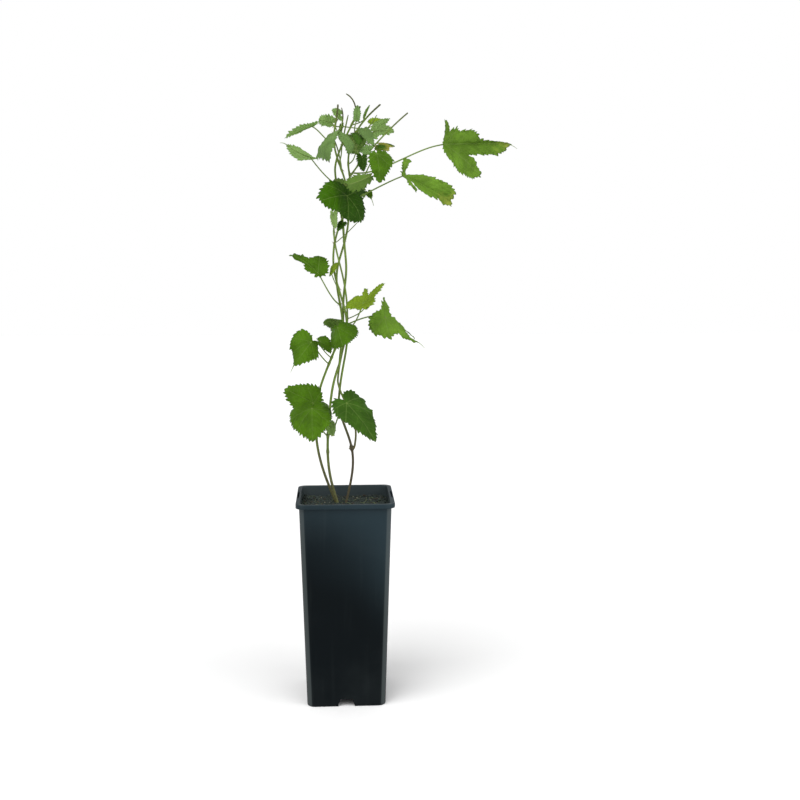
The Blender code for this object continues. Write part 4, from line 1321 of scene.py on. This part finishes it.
TINTS = {
    "fresh": ("leaf_low_left", "leaf_low_left_back", "leaf_heart", "leaf_heart_side",
              "leaf_mid_centre", "leaf_mid_centre_left", "leaf_centre_shoot", "leaf_mid_left",
              "leaf_right_dark", "leaf_centre_folded"),
    "misty": ("leaf_centre_droop", "leaf_left_droop", "leaf_top_small", "leaf_top_dark",
              "leaf_tip_young", "leaf_tip_side"),
    # Painted shade: leaves in shade take the darker green.
    "deep": ("leaf_centre_big", "leaf_centre_behind", "leaf_mid_behind", "leaf_low_behind",
             "leaf_top_behind"),
    "bright": ("leaf_right_far", "leaf_right_low", "leaf_mid_right"),
    # Painted light: these leaves take the pale green of full light.
    "pale": ("leaf_top_pale", "leaf_left_low", "leaf_left_pale", "leaf_left_narrow",
             "leaf_centre_low", "leaf_left_small", "leaf_low_young"),
    "lime": ("leaf_mid_yellow", "leaf_mid_yellow_small", "leaf_mid_left_bud",
             "leaf_top_yellow"),
}
# How yellow and brown a leaf is, how yellow its tips are, and the brighter green painted onto its
# left part as painted sunlight
SPECIAL = {"leaf_top_brown": (0.85, 0.0, None), "leaf_right_far": (0.0, 0.5, None),
           "leaf_right_low": (0.0, 0.4, None), "leaf_mid_yellow": (0.0, 0.8, None),
           "leaf_low_young": (0.0, 1.0, None),
           "leaf_centre_big": (0.0, 0.0, "sunny")}


# ---------------------------------------------------------------- operators
class HopMakePot(bpy.types.Operator):
    """Make the square pot, its rim slots and the recesses of its drain notches"""

    bl_idname = "hop.make_pot"
    bl_label = "Pot"

    def execute(self, context):
        pot = context.scene.hop_pot
        ob = loose(pot_form(pot), "square_pot")
        quarters = [k * math.pi / 2 for k in range(4)]
        cut(ob, [loose(drain_block(q, pot, pot.wall / MM, True), "cutter") for q in quarters],
            "UNION")
        cutters = [loose(drain_block(q, pot), "cutter") for q in quarters]
        cutters += [loose(slot_block(side, pot), "cutter") for side in (-1, 1)]
        cut(ob, cutters)
        ob.data.polygons.foreach_set("use_smooth", [True] * len(ob.data.polygons))
        ob.data.set_sharp_from_angle(angle=math.radians(35))
        ob.data.materials.append(pot_plastic("pot_plastic", pot))
        settle(ob, ["pot"])
        return {"FINISHED"}


class HopMakeSoil(bpy.types.Operator):
    """Make the soil, and the crumbs, grit and threads that lie on it"""

    bl_idname = "hop.make_soil"
    bl_label = "Soil"

    def execute(self, context):
        pot, soil = context.scene.hop_pot, context.scene.hop_soil
        earth = grains("soil", soil.dark, soil.light)
        room = pot.wall / MM + CLEAR
        bed = cut(loose(soil_form(pot, soil), "soil_bed"),
                  [loose(drain_block(k * math.pi / 2, pot, room), "cutter") for k in range(4)])
        bed.data.materials.append(earth)
        settle(bed, ["soil"])
        kinds = [("crumbs_dark", 11, soil.crumbs, 0.5, 2.4, 0.8, earth),
                 ("crumbs_bark", 12, soil.crumbs // 5, 0.6, 2.6, 0.5,
                  grains("bark_crumb", shade(soil.brown, 0.5)[:3], soil.brown)),
                 ("crumbs_grit", 13, soil.crumbs // 8, 0.4, 1.5, 0.8, plain("grit", soil.pale))]
        for name, seed, count, low, high, flat, finish in kinds:
            form = crumbs_form(pot, soil, seed, count, low, high, flat)
            form.piece(name, [finish], "soil", smooth=False)
        moss = plain("moss_thread", soil.moss)
        fibres_form(pot, soil, 14, 60).piece("moss_threads", [moss], "soil")
        return {"FINISHED"}


class HopMakeStems(bpy.types.Operator):
    """Make the four twining stems with their ridges, nodes and scales"""

    bl_idname = "hop.make_stems"
    bl_label = "Stems"

    def execute(self, context):
        look = context.scene.hop_stems
        scales = plain("dry_scale", look.scale)
        kinds = {"bine_left": (look.bark, 0.3), "bine_front": (look.bark, 0.28),
                 "bine_right": (look.dark_bark, 0.33), "bine_branch": (look.bark, 0.34)}
        for bine in BINES:
            low, change = kinds[bine.name]
            skin = stem_skin(bine.name + "_skin", low, look.green, change, look)
            stem_form(bine, look).piece(bine.name.replace("bine", "stem"), [skin, scales],
                                        "bine", [bine.name])
        return {"FINISHED"}


class HopMakeTwigs(bpy.types.Operator):
    """Make the cut side shoots and the tendril"""

    bl_idname = "hop.make_twigs"
    bl_label = "Twigs"

    def execute(self, context):
        look = context.scene.hop_stems
        skin = stem_skin("twig_skin", look.bark, look.green, 0.5, look)
        for twig in TWIGS:
            twig_form(twig, look).piece(twig.name.replace("twig", "shoot"), [skin], "bine",
                                        [twig.name])
        return {"FINISHED"}


class HopMakeLeaves(bpy.types.Operator):
    """Make every leaf with its toothed blade, its veins and its stalk"""

    bl_idname = "hop.make_leaves"
    bl_label = "Leaves"

    def execute(self, context):
        look = context.scene.hop_leaves
        under = under_face("leaf_underside", look.underside, look)
        pale_under = under_face("pale_underside", look.pale_underside, look)
        stalk = stalk_skin("leaf_stalk", look.stalk, look)
        uppers = {tint: upper_face("leaf_" + tint, getattr(look, tint), look)
                  for tint in (*TINTS, "cool")}
        for seed, leaf in enumerate(LEAVES):
            tint = next((t for t, names in TINTS.items() if leaf.name in names), "cool")
            upper = uppers[tint]
            if leaf.name in SPECIAL:
                age, tips, second = SPECIAL[leaf.name]
                upper = upper_face(leaf.name + "_face", getattr(look, tint), look, age, tips,
                                   getattr(look, second) if second else None)
            form = leaf_form(leaf, look, seed)
            # Leaves painted pale for full light, and lime leaves, take the pale underside.
            below = pale_under if tint in ("pale", "lime") else under
            form.piece(leaf.name.replace("leaf", "blade"), [upper, below, stalk], "leaf",
                       [leaf.name])
        return {"FINISHED"}


class HopMakeStage(bpy.types.Operator):
    """Make the pale floor, the soft lights and the camera"""

    bl_idname = "hop.make_stage"
    bl_label = "Stage"

    def execute(self, context):
        stage = context.scene.hop_stage
        scene = context.scene
        half = stage.floor_size / 2
        mesh = bpy.data.meshes.new("floor")
        mesh.from_pydata([(x * half, y * half, -0.0002) for x, y in
                          ((-1, -1), (1, -1), (1, 1), (-1, 1))], [], [(0, 1, 2, 3)])
        floor = bpy.data.objects.new("floor", mesh)
        scene.collection.objects.link(floor)
        mesh.materials.append(plain("floor_paper", stage.floor, 0.95))
        world = bpy.data.worlds.new("studio")
        scene.world = world
        world.use_nodes = True
        tree = world.node_tree
        sky, paper = tree.nodes["Background"], tree.nodes.new("ShaderNodeBackground")
        for light, strength in ((sky, stage.sky), (paper, 1.0)):
            light.inputs["Color"].default_value = (1.0, 1.0, 1.0, 1.0)
            light.inputs["Strength"].default_value = strength
        seen = tree.nodes.new("ShaderNodeMixShader")
        tree.links.new(tree.nodes.new("ShaderNodeLightPath").outputs["Is Camera Ray"],
                       seen.inputs[0])
        tree.links.new(sky.outputs[0], seen.inputs[1])
        tree.links.new(paper.outputs[0], seen.inputs[2])
        tree.links.new(seen.outputs[0], tree.nodes["World Output"].inputs["Surface"])
        for name, place, spread, power in (("key", (-0.8, -1.0, 1.6), 50, stage.key),
                                           ("fill", (1.0, -1.0, 0.9), 60, stage.fill)):
            lamp = bpy.data.lights.new(name, "SUN")
            lamp.angle, lamp.energy = math.radians(spread), power
            ob = bpy.data.objects.new(name, lamp)
            ob.location = place
            ob.rotation_euler = Vector(place).to_track_quat("Z", "Y").to_euler()
            scene.collection.objects.link(ob)
        camera = bpy.data.cameras.new("camera")
        camera.lens, camera.sensor_width = LENS, SENSOR
        ob = bpy.data.objects.new("camera", camera)
        ob.location = Vector(CAMERA_PLACE) * MM
        ob.rotation_euler = (math.radians(90 - CAMERA_PITCH), 0, math.radians(-CAMERA_YAW))
        scene.collection.objects.link(ob)
        scene.camera = ob
        scene.view_settings.view_transform = "Standard"
        return {"FINISHED"}


MAKERS = (HopMakePot, HopMakeSoil, HopMakeStems, HopMakeTwigs, HopMakeLeaves, HopMakeStage)
GROUPS = {"hop_pot": HopPot, "hop_soil": HopSoil, "hop_stems": HopStems,
          "hop_leaves": HopLeaves, "hop_stage": HopStage}


class HopPanel(bpy.types.Panel):
    """Sizes, colours and buttons of the hop"""

    bl_idname = "VIEW3D_PT_hop"
    bl_label = "Hop in a pot"
    bl_space_type = "VIEW_3D"
    bl_region_type = "UI"
    bl_category = "Hop"

    def draw(self, context):
        for group, kind in GROUPS.items():
            box = self.layout.box()
            for name in kind.__annotations__:
                box.prop(getattr(context.scene, group), name)
        for maker in MAKERS:
            self.layout.operator(maker.bl_idname)


def register():
    for kind in (*GROUPS.values(), *MAKERS, HopPanel):
        bpy.utils.register_class(kind)
    for group, kind in GROUPS.items():
        setattr(bpy.types.Scene, group, PointerProperty(type=kind))


def unregister():
    for group in GROUPS:
        delattr(bpy.types.Scene, group)
    for kind in reversed((*GROUPS.values(), *MAKERS, HopPanel)):
        bpy.utils.unregister_class(kind)


def main():
    register()
    bpy.ops.hop.make_pot()
    bpy.ops.hop.make_soil()
    bpy.ops.hop.make_stems()
    bpy.ops.hop.make_twigs()
    bpy.ops.hop.make_leaves()
    bpy.ops.hop.make_stage()
    bpy.context.view_layer.update()


if __name__ == "__main__":
    main()
